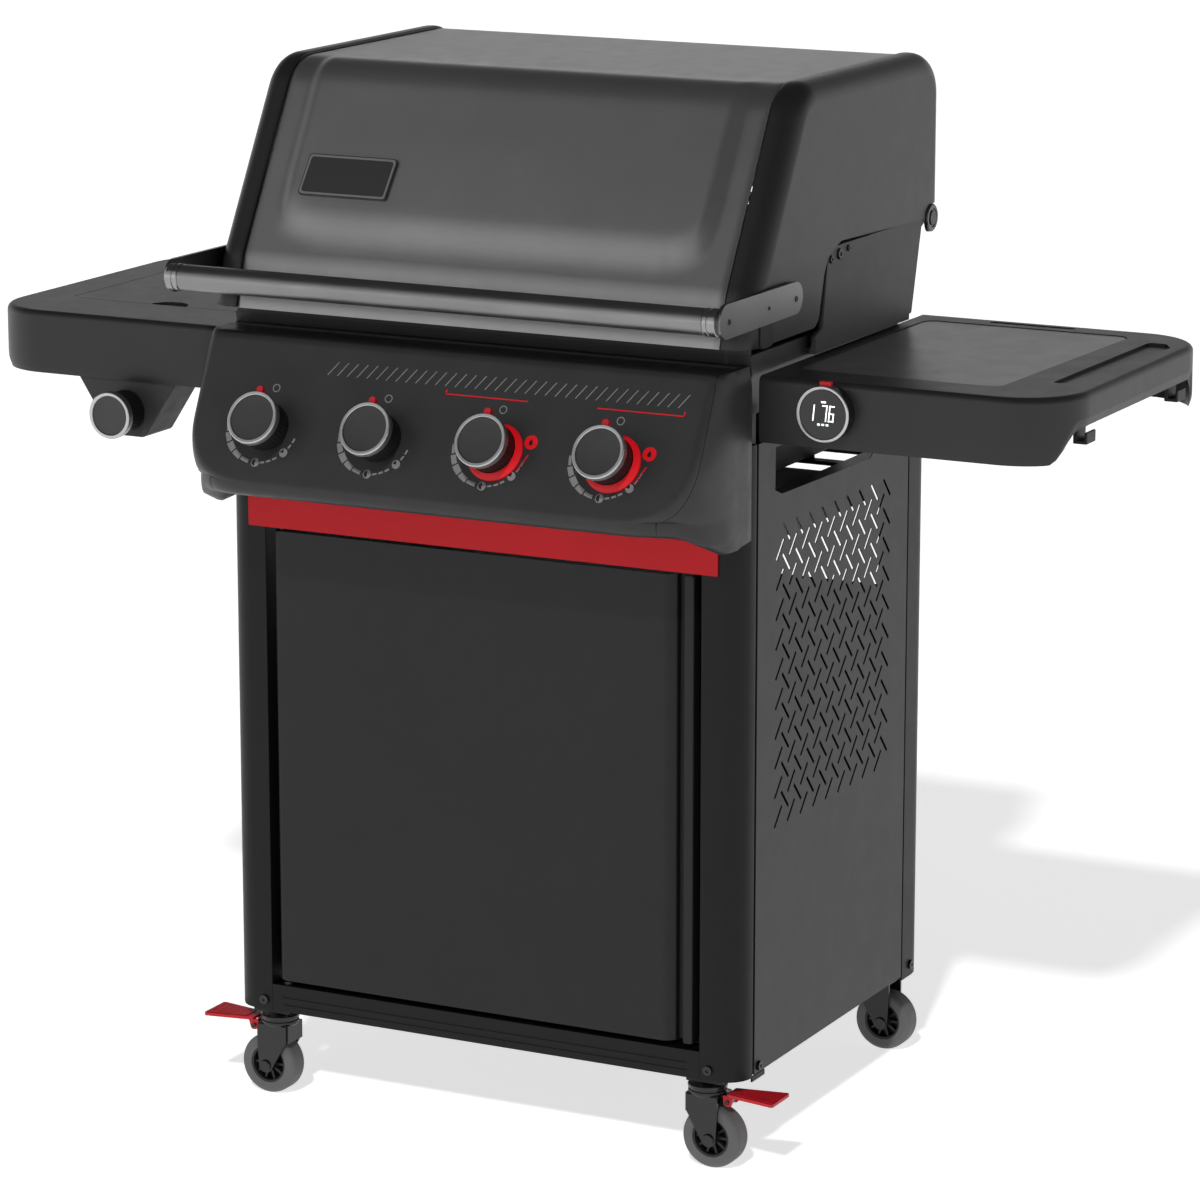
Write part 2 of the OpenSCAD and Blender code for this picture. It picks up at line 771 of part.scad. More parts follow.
// Corner points of the lid's side outline, in (Y, Z), from the lower front round to the lower rear
skirt_z = 866;
bend_z = 919;
front_foot_y = -12;
bend_y = 2.6;
rear_foot_z = 955;
lid_outline = [
    [front_foot_y, skirt_z], [lid_back, rear_foot_z], [lid_back, lid_top],
    [bend_y + (lid_top - bend_z) * tan(front_tilt), lid_top], [bend_y, bend_z]
];
rear_top_r = 45;
front_top_r = 54;
bend_r = 60;

// The outline moved in by t, with its open lower side carried down by drop
function lid_section(t, drop) =
    let (p = inset(lid_outline, t))
    rounded([[p[0][0], skirt_z - drop], [lid_back - t, rear_foot_z - drop], p[2], p[3], p[4]],
        [0, 0, rear_top_r - t, front_top_r - t, bend_r], 8);

module lid_band(x0, x1, t0, t1) {
    along_x(x0, x1) difference() {
        polygon(lid_section(t0, 0));
        polygon(lid_section(t1, 60));
    }
}

// Frame of the lid's slanted front: +X right, +Y up along it, +Z out of it; the origin is the bend
module on_front() { translate([0, bend_y, bend_z]) rotate([90 - front_tilt, 0, 0]) children(); }

// Raised panel of the front, its edge moved in by t
function front_panel(t) = rounded(
    [[-239 + t, 55 + t], [239 - t, 55 + t], [239 - t, 182 - t], [-239 + t, 182 - t]],
    [24, 24, 10, 10], 4);

module lid_shell() {
    color("#525253") {
        difference() {
            union() {
                lid_band(-lid_sheet_half, lid_sheet_half, cap_proud, cap_proud + sheet);
                on_front() translate([0, 0, -cap_proud - 1]) linear_extrude(emboss_h + 1) polygon(front_panel(0));
            }
            on_front() translate([0, 0, -cap_proud - 10]) linear_extrude(emboss_h + 10 - sheet)
                polygon(front_panel(sheet));
        }
    }
}

// Side outline of a cap, with the lower edge stepped up over the cookbox cheeks
side_inset = inset(lid_outline, lid_edge_r - 2);
cap_side = rounded(
    [[side_inset[0][0], skirt_z], [154, skirt_z], [168, 947], [425, 944], [432, 926], [side_inset[2][0], 926],
     side_inset[2], side_inset[3], side_inset[4]],
    [10, 24, 14, 3, 8, 6, rear_top_r - lid_edge_r + 2, front_top_r - lid_edge_r + 2, bend_r], 8);

// X and inset of step i of the rounding between the lid's front and its side face
rounding_steps = 4;
function rounding_x(i) = lid_half - lid_edge_r * (1 - sin(90 * i / rounding_steps));
function rounding_inset(i) = lid_edge_r * (1 - cos(90 * i / rounding_steps));

module lid_cap() {
    difference() {
        union() {
            lid_band(lid_sheet_half, rounding_x(0), 0, cap_proud + sheet + 0.5);
            for (i = [0:rounding_steps - 1])
                lid_band(rounding_x(i) - 0.5, rounding_x(i + 1), rounding_inset(i), rounding_inset(i + 1) + 2.5);
            along_x(lid_half - cap_t, lid_half) polygon(cap_side);
            translate([0, hinge_y, hinge_z]) rod_x(301, lid_half, 15);
        }
        translate([0, hinge_y, hinge_z]) rod_x(280, lid_half + 1, 4 + running);
    }
}

module handle_bar() {
    color(steel) translate([0, handle_y, handle_z]) {
        difference() {
            rod_x(-handle_half, handle_half, handle_d / 2);
            rod_x(-handle_half + 1, handle_half - 1, handle_d / 2 - 1.5);
        }
        for (s = [0, 1]) mirror([s, 0, 0]) rod_x(handle_half - 0.5, bracket_x, handle_d / 2 + 0.6);
    }
}

module bracket_slot(x0, x1, y0, y1, r) {
    for (y = [y0, y1]) translate([0, y, handle_z]) rod_x(x0, x1, r);
    box([x0, y0, handle_z - r], [x1, y1, handle_z + r]);
}

module handle_bracket() {
    bracket_slot(bracket_x, bracket_x + bracket_t, bracket_front_y, bracket_rear_y, bracket_r);
    bracket_slot(lid_half, bracket_x + 0.5, 42, bracket_rear_y - 2, bracket_r - 3);
    for (y = [-69, 23, 87]) translate([bracket_x + bracket_t, y, handle_z - 1]) rotate([0, 90, 0])
        cylinder(r = 3, h = 0.8);
}

module handle_brackets() {
    color(steel) for (s = [0, 1]) mirror([s, 0, 0]) handle_bracket();
}

// Blank plate on the lower left of the lid's raised panel
module name_plate() {
    plate_w = 105;
    plate_h = 46.5;
    lean = 3.5;
    color(steel) on_front() translate([-229, 69, emboss_h - cap_proud])
        linear_extrude(3) polygon([[0, 0], [plate_w, 0], [plate_w + lean, plate_h], [lean, plate_h]]);
}

module lid_hinge_pins() {
    color(dark) for (s = [0, 1]) mirror([s, 0, 0]) translate([0, hinge_y, hinge_z]) {
        rod_x(288, lid_half + 2, 4);
        rod_x(286.5, 289.5, 7);
        rod_x(lid_half + 0.4, lid_half + 3, 8);
    }
}

// ---- Door ------------------------------------------------------------------------------

door_half = 247;
door_low = 133;
door_high = 628;
door_t = 18;
door_axis_x = -240;
door_axis_y = 9;
door_pin_r = 3;
// Finger groove along the free edge
groove_in = 226;
groove_out = 236;

module door() {
    color("#242425") difference() {
        translate([0, 0, door_low]) linear_extrude(door_high - door_low)
            polygon([[-door_half, 0], [groove_in - 9, 0], [groove_in, 6], [groove_in, 14], [groove_out, 14],
                [groove_out, 1], [door_half, 1], [door_half, door_t], [-door_half, door_t]]);
        // hollow pan with a closed back
        box([-door_half + 16, 1.5, door_low + 12], [groove_in - 11, door_t - 1.5, door_high - 12]);
        for (z = [door_low - 1, door_high - 11])
            translate([door_axis_x, door_axis_y, z]) cylinder(r = door_pin_r + running, h = 12);
    }
}

// Pins on small brackets above and below the door
module door_hinge_pins() {
    color(steel) {
        translate([door_axis_x, door_axis_y, 127]) cylinder(r = door_pin_r, h = 14);
        translate([door_axis_x, door_axis_y, door_high - 9]) cylinder(r = door_pin_r, h = 16);
        translate([door_axis_x, door_axis_y, 127]) cylinder(r = 6, h = 3);
        box([-post_in, 3, 630.5], [-234, 34, 633]);
    }
}

// ---- Grease tray --------------------------------------------------------------------------

module grease_tray() {
    color(steel) {
        difference() {
            box([-tray_half, 4, tray_bottom], [tray_half, 392, tray_top]);
            box([-tray_half + 2, 6, tray_bottom + 2], [tray_half - 2, 390, tray_top + 1]);
        }
        // runners that lie on the rails
        for (s = [-1, 1]) box([s * 249 - 5, 8, tray_bottom], [s * 249 + 5, 390, tray_bottom + 2]);
    }
}

module tray_front() {
    color(red) {
        box([-275, -2.2, 632], [275, -0.4, tray_top + 1.5]);
        box([-235, -0.5, tray_bottom + 3], [235, 4, tray_top - 3]);
    }
}

// ---- Casters ----------------------------------------------------------------------------------

// A caster swivels about Z at its origin; its axle is at X = +trail
module caster_fork() {
    leg_gap = wheel_w + 4;
    color(dark) {
        translate([0, 0, raceway_top - 8]) cylinder(r = raceway_r, h = 8);
        translate([0, 0, raceway_top - 14]) cylinder(r = 19, h = 7);
        translate([0, 0, raceway_top - 1]) cylinder(r = stem_r, h = 34);
        for (s = [-1, 1]) translate([0, s * (leg_gap / 2 + 1.25), 0]) along_y(-1.25, 1.25)
            polygon([[trail - 8, wheel_d / 2 - 6], [trail, wheel_d / 2 - 9], [trail + 8, wheel_d / 2 - 6],
                [trail + 9, wheel_d / 2 + 8], [19, 77], [-17, 77], [-17, 62]]);
        translate([trail, 0, wheel_d / 2]) rod_y(-leg_gap / 2 - 4, leg_gap / 2 + 4, axle_r);
    }
}

module caster_wheel() {
    shoulder = 6;
    half = wheel_w / 2;
    rim_r = wheel_d / 2;
    color("#4a4a4b") translate([trail, 0, wheel_d / 2]) rotate([90, 0, 0]) difference() {
        rotate_extrude($fn = 72) polygon(rounded(
            [[axle_r + running, -half - 1], [10, -half - 1], [10, -half + 6], [21, -half + 6], [21, -half],
             [rim_r, -half], [rim_r, half], [21, half], [21, half - 6], [10, half - 6], [10, half + 1],
             [axle_r + running, half + 1]],
            [0, 0, 0, 0, 0, shoulder, shoulder, 0, 0, 0, 0, 0], 5));
        // openings between the spokes
        for (a = [0:72:288]) rotate(a) translate([15.6, 0, 0]) cylinder(r = 4.4, h = wheel_w, center = true);
    }
}

// Foot pedal of a locking caster; it tips about a pin along Y
pedal_x = 27;
pedal_z = 74;
module caster_pedal() {
    color(red) {
        difference() {
            union() {
                translate([0, 0, 80]) linear_extrude(4)
                    polygon([[27, -12], [84, -22], [84, 22], [27, 12]]);
                translate([pedal_x, 0, pedal_z]) rod_y(-10, 10, 6);
                box([pedal_x - 5, -10, pedal_z], [pedal_x + 6, 10, 82]);
            }
            translate([pedal_x, 0, pedal_z]) rod_y(-30, 30, 2.5 + running);
            box([10, -7, 60], [36, 7, 79.5]);
        }
    }
}

// Lug on a locking fork that holds the pedal's pin
module pedal_lug() {
    color(dark) {
        box([15, -6, pedal_z - 4], [pedal_x, 6, pedal_z + 4]);
        translate([pedal_x, 0, pedal_z]) rod_y(-12, 12, 2.5);
        translate([pedal_x, 0, pedal_z]) rod_y(-6, 6, 4);
    }
}

module at_caster(side, y) { translate([side * swivel_x, y, 0]) rotate([0, 0, side > 0 ? 0 : 180]) children(); }

// ---- Placing --------------------------------------------------------------------------------------

module placed() { translate([0, -origin_y, 0]) children(); }

placed() on_left() front_post();  // left_front_post
placed() front_post();  // right_front_post
placed() on_left() rear_post();  // left_rear_post
placed() rear_post();  // right_rear_post
placed() on_left() side_panel();  // left_side_panel
placed() side_panel();  // right_side_panel
placed() bottom_panel();
placed() bottom_rail();
placed() rear_panel();
placed() top_frame();
placed() door_jamb();
placed() tray_rails();
placed() caster_sockets();
placed() cart_screws();
placed() control_panel();
placed() cookbox();
placed() burner_manifold();
placed() burner_tubes();
placed() heat_tents();
placed() grate(-289, -2);  // left_grate
placed() grate(2, 289);  // right_grate
placed() warming_rack();
placed() warming_rack_legs();
placed() left_shelf();
placed() right_shelf();
placed() right_shelf_insert();
placed() shelf_hooks();
placed() side_burner_bowl();
placed() side_burner_head();
placed() side_burner_grate();
placed() side_burner_housing();
placed() side_burner_cover();
placed() side_burner_knob();
placed() display_housing();
placed() display_button();
placed() lid_shell();
placed() color("#4a4a4b") on_left() lid_cap();  // left_lid_cap
placed() color("#4a4a4b") lid_cap();  // right_lid_cap
placed() handle_bar();  // lid_handle
placed() handle_brackets();
placed() name_plate();
placed() lid_hinge_pins();
placed() door();
placed() door_hinge_pins();
placed() burner_knob(1);  // knob_1
placed() burner_knob(2);  // knob_2
placed() burner_knob(3);  // knob_3
placed() burner_knob(4);  // knob_4
placed() grease_tray();
placed() tray_front();
placed() at_caster(-1, swivel_front_y) {  // front_left_fork
    caster_fork();
    pedal_lug();
}
placed() at_caster(1, swivel_front_y) {  // front_right_fork
    caster_fork();
    pedal_lug();
}
placed() at_caster(-1, swivel_rear_y) caster_fork();  // rear_left_fork
placed() at_caster(1, swivel_rear_y) caster_fork();  // rear_right_fork
placed() at_caster(-1, swivel_front_y) caster_wheel();  // front_left_wheel
placed() at_caster(1, swivel_front_y) caster_wheel();  // front_right_wheel
placed() at_caster(-1, swivel_rear_y) caster_wheel();  // rear_left_wheel
placed() at_caster(1, swivel_rear_y) caster_wheel();  // rear_right_wheel
placed() at_caster(-1, swivel_front_y) caster_pedal();  // front_left_pedal
placed() at_caster(1, swivel_front_y) caster_pedal();  // front_right_pedal
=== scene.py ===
"""Looks of a gas barbecue grill on a cabinet cart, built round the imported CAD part.

Lengths are millimetres in the maker's frame: X across (right is +), Y from the front posts
backwards, Z up from the floor. to_row() turns them into the row frame, in metres.
"""

import math

import bmesh
import bpy
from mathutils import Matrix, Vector


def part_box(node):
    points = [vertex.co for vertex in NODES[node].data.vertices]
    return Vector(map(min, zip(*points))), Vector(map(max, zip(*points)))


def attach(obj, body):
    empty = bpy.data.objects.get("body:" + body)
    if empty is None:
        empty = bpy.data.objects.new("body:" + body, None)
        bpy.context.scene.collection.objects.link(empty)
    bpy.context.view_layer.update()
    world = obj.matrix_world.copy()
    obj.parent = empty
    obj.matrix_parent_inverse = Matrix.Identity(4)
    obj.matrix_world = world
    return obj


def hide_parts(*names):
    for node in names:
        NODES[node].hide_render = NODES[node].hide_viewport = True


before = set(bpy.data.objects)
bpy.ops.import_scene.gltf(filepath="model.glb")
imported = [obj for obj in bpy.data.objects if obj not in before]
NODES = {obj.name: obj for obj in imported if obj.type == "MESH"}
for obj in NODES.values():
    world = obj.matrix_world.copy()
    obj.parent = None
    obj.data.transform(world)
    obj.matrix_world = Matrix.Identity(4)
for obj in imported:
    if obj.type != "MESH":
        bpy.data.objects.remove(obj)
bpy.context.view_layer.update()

# ---- Places read from the frame ------------------------------------------------------------------

FRONT_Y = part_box("right_front_post")[0][1] * 1000
POSTS_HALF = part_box("right_front_post")[1][0] * 1000
SHELF_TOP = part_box("right_shelf")[1][2] * 1000
SHELF_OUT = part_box("right_shelf")[1][0] * 1000 - 4.5
LID_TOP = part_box("right_lid_cap")[1][2] * 1000
LID_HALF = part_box("right_lid_cap")[1][0] * 1000


def to_row(v):
    return Vector((v[0], v[1] + FRONT_Y, v[2])) / 1000


def low_of(node):
    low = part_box(node)[0]
    return Vector((low[0] * 1000, low[1] * 1000 - FRONT_Y, low[2] * 1000))


def high_of(node):
    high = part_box(node)[1]
    return Vector((high[0] * 1000, high[1] * 1000 - FRONT_Y, high[2] * 1000))


# ---- Materials -----------------------------------------------------------------------------------


def grey(level):
    return (level, level, level * 1.02, 1.0)


def shade(colour, factor):
    """The colour made darker or lighter by a factor."""
    return [min(1.0, c * factor) for c in colour[:3]] + [1.0]


class Shader:
    """A Principled material with small helpers for the procedural nodes that feed it."""

    def __init__(self, name, colour, roughness, metallic=0.0, specular=0.5):
        self.material = bpy.data.materials.new(name)
        self.material.use_nodes = True
        self.nodes = self.material.node_tree.nodes
        self.links = self.material.node_tree.links
        self.bsdf = self.nodes["Principled BSDF"]
        self.bsdf.inputs["Base Color"].default_value = colour
        self.bsdf.inputs["Roughness"].default_value = roughness
        self.bsdf.inputs["Metallic"].default_value = metallic
        self.bsdf.inputs["Specular IOR Level"].default_value = specular
        self.coords = self.nodes.new("ShaderNodeTexCoord").outputs["Object"]

    def noise(self, scale, detail=3.0, stretch=(1, 1, 1)):
        mapping = self.nodes.new("ShaderNodeMapping")
        mapping.inputs["Scale"].default_value = stretch
        self.links.new(self.coords, mapping.inputs["Vector"])
        noise = self.nodes.new("ShaderNodeTexNoise")
        noise.inputs["Scale"].default_value = scale
        noise.inputs["Detail"].default_value = detail
        self.links.new(mapping.outputs["Vector"], noise.inputs["Vector"])
        return noise.outputs["Fac"]

    def ramp(self, fac, low, high, start=0.3, end=0.7):
        ramp = self.nodes.new("ShaderNodeMapRange")
        ramp.inputs["From Min"].default_value = start
        ramp.inputs["From Max"].default_value = end
        ramp.inputs["To Min"].default_value = low
        ramp.inputs["To Max"].default_value = high
        self.links.new(fac, ramp.inputs["Value"])
        return ramp.outputs["Result"]

    def vary_colour(self, fac, dark, light, start=0.3, end=0.7):
        mix = self.nodes.new("ShaderNodeMix")
        mix.data_type = "RGBA"
        mix.inputs["A"].default_value = dark
        mix.inputs["B"].default_value = light
        self.links.new(self.ramp(fac, 0.0, 1.0, start, end), mix.inputs["Factor"])
        self.links.new(mix.outputs["Result"], self.bsdf.inputs["Base Color"])

    def vary_roughness(self, fac, low, high, start=0.3, end=0.7):
        self.links.new(self.ramp(fac, low, high, start, end), self.bsdf.inputs["Roughness"])

    def bump(self, fac, strength, distance):
        bump = self.nodes.new("ShaderNodeBump")
        bump.inputs["Strength"].default_value = strength
        bump.inputs["Distance"].default_value = distance
        previous = self.bsdf.inputs["Normal"].links
        if previous:
            self.links.new(previous[0].from_socket, bump.inputs["Normal"])
        self.links.new(fac, bump.inputs["Height"])
        self.links.new(bump.outputs["Normal"], self.bsdf.inputs["Normal"])


def powder_coat(name, level, roughness, tint=(1.0, 1.0, 1.01), grain=1400, specular=0.3,
                metallic=0.0):
    """Sprayed and baked paint: fine orange peel, slow changes of gloss, faint dust in the tone."""
    colour = [level * t for t in tint] + [1.0]
    shader = Shader(name, colour, roughness, metallic=metallic, specular=specular)
    shader.vary_colour(shader.noise(7, 4), shade(colour, 0.94), shade(colour, 1.06))
    shader.vary_roughness(shader.noise(45, 5), roughness - 0.02, roughness + 0.02)
    shader.bump(shader.noise(grain, 2), 0.22, 0.0004)
    shader.bump(shader.noise(260, 3), 0.08, 0.0006)
    return shader.material


def plastic(name, colour, roughness, grain=2200, strength=0.15, specular=0.5):
    """Moulded plastic with a fine spark-eroded texture."""
    shader = Shader(name, colour, roughness, specular=specular)
    fine = shader.noise(grain, 2)
    shader.vary_roughness(shader.noise(60, 4), roughness - 0.05, roughness + 0.06)
    shader.vary_colour(shader.noise(25, 3), shade(colour, 0.92), shade(colour, 1.08))
    shader.bump(fine, strength, 0.0003)
    return shader.material


def metal(name, colour, roughness, stretch=(1, 1, 1), grain=300, strength=0.12):
    """Metal whose grain is drawn out along the axis with the smallest stretch."""
    shader = Shader(name, colour, roughness, metallic=1.0)
    lines = shader.noise(grain, 4, stretch)
    shader.vary_roughness(lines, roughness - 0.06, roughness + 0.08)
    shader.vary_colour(shader.noise(12, 3), shade(colour, 0.9), shade(colour, 1.06))
    shader.bump(lines, strength, 0.0003)
    return shader.material


def cast_iron(name, level):
    """Seasoned cast iron, mottled and rough."""
    shader = Shader(name, grey(level), 0.6)
    shader.vary_colour(shader.noise(80, 5), grey(level * 0.75), grey(level * 1.35))
    shader.vary_roughness(shader.noise(120, 4), 0.48, 0.72)
    shader.bump(shader.noise(420, 5), 0.5, 0.0008)
    return shader.material


def glossy(name, colour, roughness=0.12):
    """Smooth lacquer or glass with a faint unevenness."""
    shader = Shader(name, colour, roughness, specular=0.6)
    shader.vary_roughness(shader.noise(30, 4), roughness - 0.03, roughness + 0.06)
    shader.bump(shader.noise(90, 2), 0.02, 0.0004)
    return shader.material


def lit_sign(name, strength):
    """Softly lit white segments."""
    shader = Shader(name, (0.9, 0.93, 0.95, 1.0), 0.4)
    shader.bsdf.inputs["Emission Color"].default_value = (0.92, 0.96, 1.0, 1.0)
    shader.bsdf.inputs["Emission Strength"].default_value = strength
    shader.vary_roughness(shader.noise(200, 2), 0.35, 0.45)
    return shader.material


M = {
    "body": powder_coat("black_powder_coat", 0.0035, 0.44, specular=0.22),
    "panel_side": powder_coat("black_powder_coat_sides", 0.008, 0.42, specular=0.27),
    "door": powder_coat("door_powder_coat", 0.008, 0.48, specular=0.3),
    "shelf": powder_coat("shelf_powder_coat", 0.012, 0.42, specular=0.38),
    "insert": powder_coat("insert_powder_coat", 0.040, 0.34, specular=0.45),
    "frame": powder_coat("frame_paint", 0.004, 0.45, specular=0.3),
    "lid": powder_coat("lid_enamel", 0.25, 0.37, grain=1000, metallic=0.9),
    "cap": powder_coat("cap_enamel", 0.036, 0.38, grain=1000, metallic=0.75),
    "cookbox": powder_coat("cookbox_enamel", 0.034, 0.48, grain=700),
    "moulding": plastic("control_panel_moulding", grey(0.022), 0.42, 1800, 0.2, specular=0.32),
    "red": powder_coat("red_paint", 0.50, 0.42, tint=(1.0, 0.010, 0.022), specular=0.2),
    "red_plastic": plastic("red_plastic", (0.42, 0.006, 0.014, 1), 0.4, specular=0.35),
    "red_print": plastic("red_print", (0.60, 0.006, 0.012, 1), 0.5, specular=0.3),
    "grey_print": plastic("grey_print", grey(0.17), 0.5, specular=0.3),
    "grip": plastic("knob_grip", grey(0.006), 0.48, specular=0.35),
    "knob_face": plastic("knob_face", grey(0.030), 0.36, specular=0.4),
    "ring": metal("knob_ring", grey(0.52), 0.36, grain=900),
    "chrome": metal("dark_chrome", grey(0.24), 0.36, stretch=(0.03, 1, 1), grain=900, strength=0.03),
    "ferrule": metal("light_ferrule", grey(0.30), 0.24, grain=600),
    "bracket": metal("satin_bracket", grey(0.20), 0.34, stretch=(1, 0.3, 1), grain=1200, strength=0.015),
    "badge": glossy("badge_ground", grey(0.016), 0.35),
    "badge_rim": metal("badge_rim", grey(0.40), 0.40, grain=800),
    "screw": metal("black_screw", grey(0.05), 0.35, grain=500),
    "stainless": metal("stainless_sheet", grey(0.52), 0.28, stretch=(1, 0.05, 1), grain=500),
    "wire": metal("plated_wire", grey(0.58), 0.24, grain=500),
    "zinc": metal("zinc_sheet", (0.42, 0.43, 0.44, 1), 0.42, grain=60),
    "brass": metal("valve_brass", (0.42, 0.29, 0.12, 1), 0.35, grain=300),
    "iron": cast_iron("seasoned_iron", 0.012),
    "gloss_black": glossy("gloss_black", grey(0.006), 0.22),
    "glass_black": glossy("display_glass", grey(0.003), 0.10),
    "digits": lit_sign("lit_digits", 0.8),
    "tyre": plastic("grey_tyre", grey(0.10), 0.62, grain=1500, strength=0.35, specular=0.3),
    "hub": plastic("wheel_hub", grey(0.010), 0.40, specular=0.35),
    "fork": powder_coat("fork_paint", 0.005, 0.28, specular=0.5),
    # near-black with little sheen: painted shade, in the joint round the work surface and down in the
    # towel slot
    "gap_painted_shade": plastic("gap_painted_shade", grey(0.002), 0.8, specular=0.2),
}

# ---- Mesh helpers --------------------------------------------------------------------------------

PIECES = []


def add_object(name, mesh, body, material, stands_for=()):
    obj = bpy.data.objects.new(name, mesh)
    bpy.context.scene.collection.objects.link(obj)
    if material is not None:
        mesh.materials.clear()
        mesh.materials.append(material)
    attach(obj, body)
    if stands_for:
        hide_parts(*stands_for)
    PIECES.append(obj)
    return obj


def finish_mesh(name, bm, sharp=32, smooth=True, place=to_row):
    """A mesh from bm, whose points are millimetres; edges sharper than `sharp` degrees stay crisp."""
    for vert in bm.verts:
        vert.co = place(vert.co)
    bmesh.ops.recalc_face_normals(bm, faces=bm.faces)
    mesh = bpy.data.meshes.new(name)
    bm.to_mesh(mesh)
    bm.free()
    for poly in mesh.polygons:
        poly.use_smooth = smooth
    if smooth:
        mesh.set_sharp_from_angle(angle=math.radians(sharp))
    return mesh


def add_piece(name, bm, body, material, stands_for=(), place=to_row, sharp=32):
    """Finishes bm as one object that rides on a body."""
    mesh = finish_mesh(name, bm, sharp=sharp, place=place)
    return add_object(name, mesh, body, material, stands_for)


def bevel_sharp(bm, width, segments=2, angle=35):
    """Rounds every edge that turns by more than `angle` degrees."""
    edges = [e for e in bm.edges
             if len(e.link_faces) == 2 and e.calc_face_angle(0.0) > math.radians(angle)]
    if edges and width > 0:
        bmesh.ops.bevel(bm, geom=edges, offset=width, offset_type="OFFSET", segments=segments,
                        profile=0.5, affect="EDGES", clamp_overlap=True)


def cad_copy(node):
    """A CAD node's mesh, in millimetres of the row frame."""
    bm = bmesh.new()
    bm.from_mesh(NODES[node].data)
    for vert in bm.verts:
        vert.co = NODES[node].matrix_world @ vert.co * 1000
    bmesh.ops.remove_doubles(bm, verts=bm.verts, dist=0.004)
    return bm


def softened(node, body, material, width=0.8, segments=2):
    """A copy of a CAD node with small rounded edges, which stands for the node."""
    bm = cad_copy(node)
    bmesh.ops.dissolve_limit(bm, angle_limit=math.radians(0.6), verts=bm.verts, edges=bm.edges,
                             delimit={"NORMAL"})
    bevel_sharp(bm, width, segments)
    mesh = finish_mesh(node, bm, place=lambda v: v / 1000)
    return add_object(node + "_piece", mesh, body, material, (node,))


def prism(bm, outline, low, high, axis="z"):
    """A closed prism of the 2-D outline between two heights along an axis."""
    def at(p, h):
        return {"z": (p[0], p[1], h), "x": (h, p[0], p[1]), "y": (p[0], h, p[1])}[axis]
    bottom = [bm.verts.new(at(p, low)) for p in outline]
    top = [bm.verts.new(at(p, high)) for p in outline]
    n = len(outline)
    bm.faces.new(bottom)
    bm.faces.new(list(reversed(top)))
    for i in range(n):
        bm.faces.new((bottom[i], bottom[(i + 1) % n], top[(i + 1) % n], top[i]))
    return bottom + top


def lathe(bm, profile, centre=(0, 0, 0), axis="z", steps=64, closed=True):
    """Turns a profile of (radius, height) points about an axis through centre."""
    def at(r, h, a):
        u, v = r * math.cos(a), r * math.sin(a)
        p = {"z": (u, v, h), "x": (h, u, v), "y": (v, h, u)}[axis]
        return tuple(p[i] + centre[i] for i in range(3))
    rings = []
    for r, h in profile:
        if r < 1e-6:
            rings.append([bm.verts.new(at(0, h, 0))])
        else:
            rings.append([bm.verts.new(at(r, h, 2 * math.pi * i / steps)) for i in range(steps)])
    for a, b in zip(rings, rings[1:]):
        for i in range(steps):
            j = (i + 1) % steps
            quad = [a[i % len(a)], a[j % len(a)], b[j % len(b)], b[i % len(b)]]
            quad = [v for k, v in enumerate(quad) if v not in quad[:k]]
            if len(quad) > 2:
                bm.faces.new(quad)
    if closed:
        for ring in (rings[0], rings[-1]):
            if len(ring) > 1:
                bm.faces.new(ring)


def turned_ring(bm, profile, axis="z", steps=64):
    """Turns a closed outline that keeps clear of the axis."""
    lathe(bm, profile + profile[:1], axis=axis, steps=steps, closed=False)


def close_walls(bm, rings):
    """Quads between each closed ring of vertices and the next."""
    for a, b in zip(rings, rings[1:]):
        for i in range(len(a)):
            j = (i + 1) % len(a)
            bm.faces.new((a[i], a[j], b[j], b[i]))


def arc(centre, radius, start, end, steps):
    """Points of an arc in the plane, in degrees."""
    return [(centre[0] + radius * math.cos(math.radians(start + (end - start) * i / steps)),
             centre[1] + radius * math.sin(math.radians(start + (end - start) * i / steps)))
            for i in range(steps + 1)]


def round_corner(before, corner, after, radius, steps):
    """Points of the arc that rounds one corner of an outline."""
    b = Vector(corner)
    u = (b - Vector(before)).normalized()
    v = (Vector(after) - b).normalized()
    turn = math.atan2(u.x * v.y - u.y * v.x, u.dot(v))
    if abs(turn) < 1e-6 or radius <= 0:
        return [tuple(b)] * (steps + 1)
    side = 1 if turn > 0 else -1
    start = b - u * radius * math.tan(abs(turn) / 2)
    centre = start + Vector((-u.y, u.x)) * radius * side
    a0 = math.atan2(start.y - centre.y, start.x - centre.x)
    return [(centre.x + radius * math.cos(a0 + turn * i / steps),
             centre.y + radius * math.sin(a0 + turn * i / steps)) for i in range(steps + 1)]


def rounded(outline, radii, steps=6):
    """The outline with corner i rounded by radii[i]; 0 keeps it sharp."""
    points = []
    n = len(outline)
    for i, (p, r) in enumerate(zip(outline, radii)):
        if r > 0:
            points += round_corner(outline[i - 1], p, outline[(i + 1) % n], r, steps)
        else:
            points.append(tuple(p))
    return points


def rect(x0, y0, x1, y1):
    return [(x0, y0), (x1, y0), (x1, y1), (x0, y1)]


def grid_faces(bm, rows):
    """Quads between neighbouring rows of points; returns the rows of vertices."""
    verts = [[bm.verts.new(p) for p in row] for row in rows]
    for a, b in zip(verts, verts[1:]):
        for i in range(len(a) - 1):
            bm.faces.new((a[i], a[i + 1], b[i + 1], b[i]))
    return verts


def mirror_x(verts, side):
    """Moves points drawn for the right-hand side to the side asked for."""
    for v in verts:
        v.co.x *= side


def thicken(obj, thickness, even=True):
    """Gives a sheet its thickness, in millimetres, inwards from its faces."""
    modifier = obj.modifiers.new("sheet", "SOLIDIFY")
    modifier.thickness = thickness / 1000
    modifier.offset = -1.0
    modifier.use_even_offset = even


def smoothstep(x, low, high):
    t = min(1.0, max(0.0, (x - low) / (high - low)))
    return t * t * (3 - 2 * t)


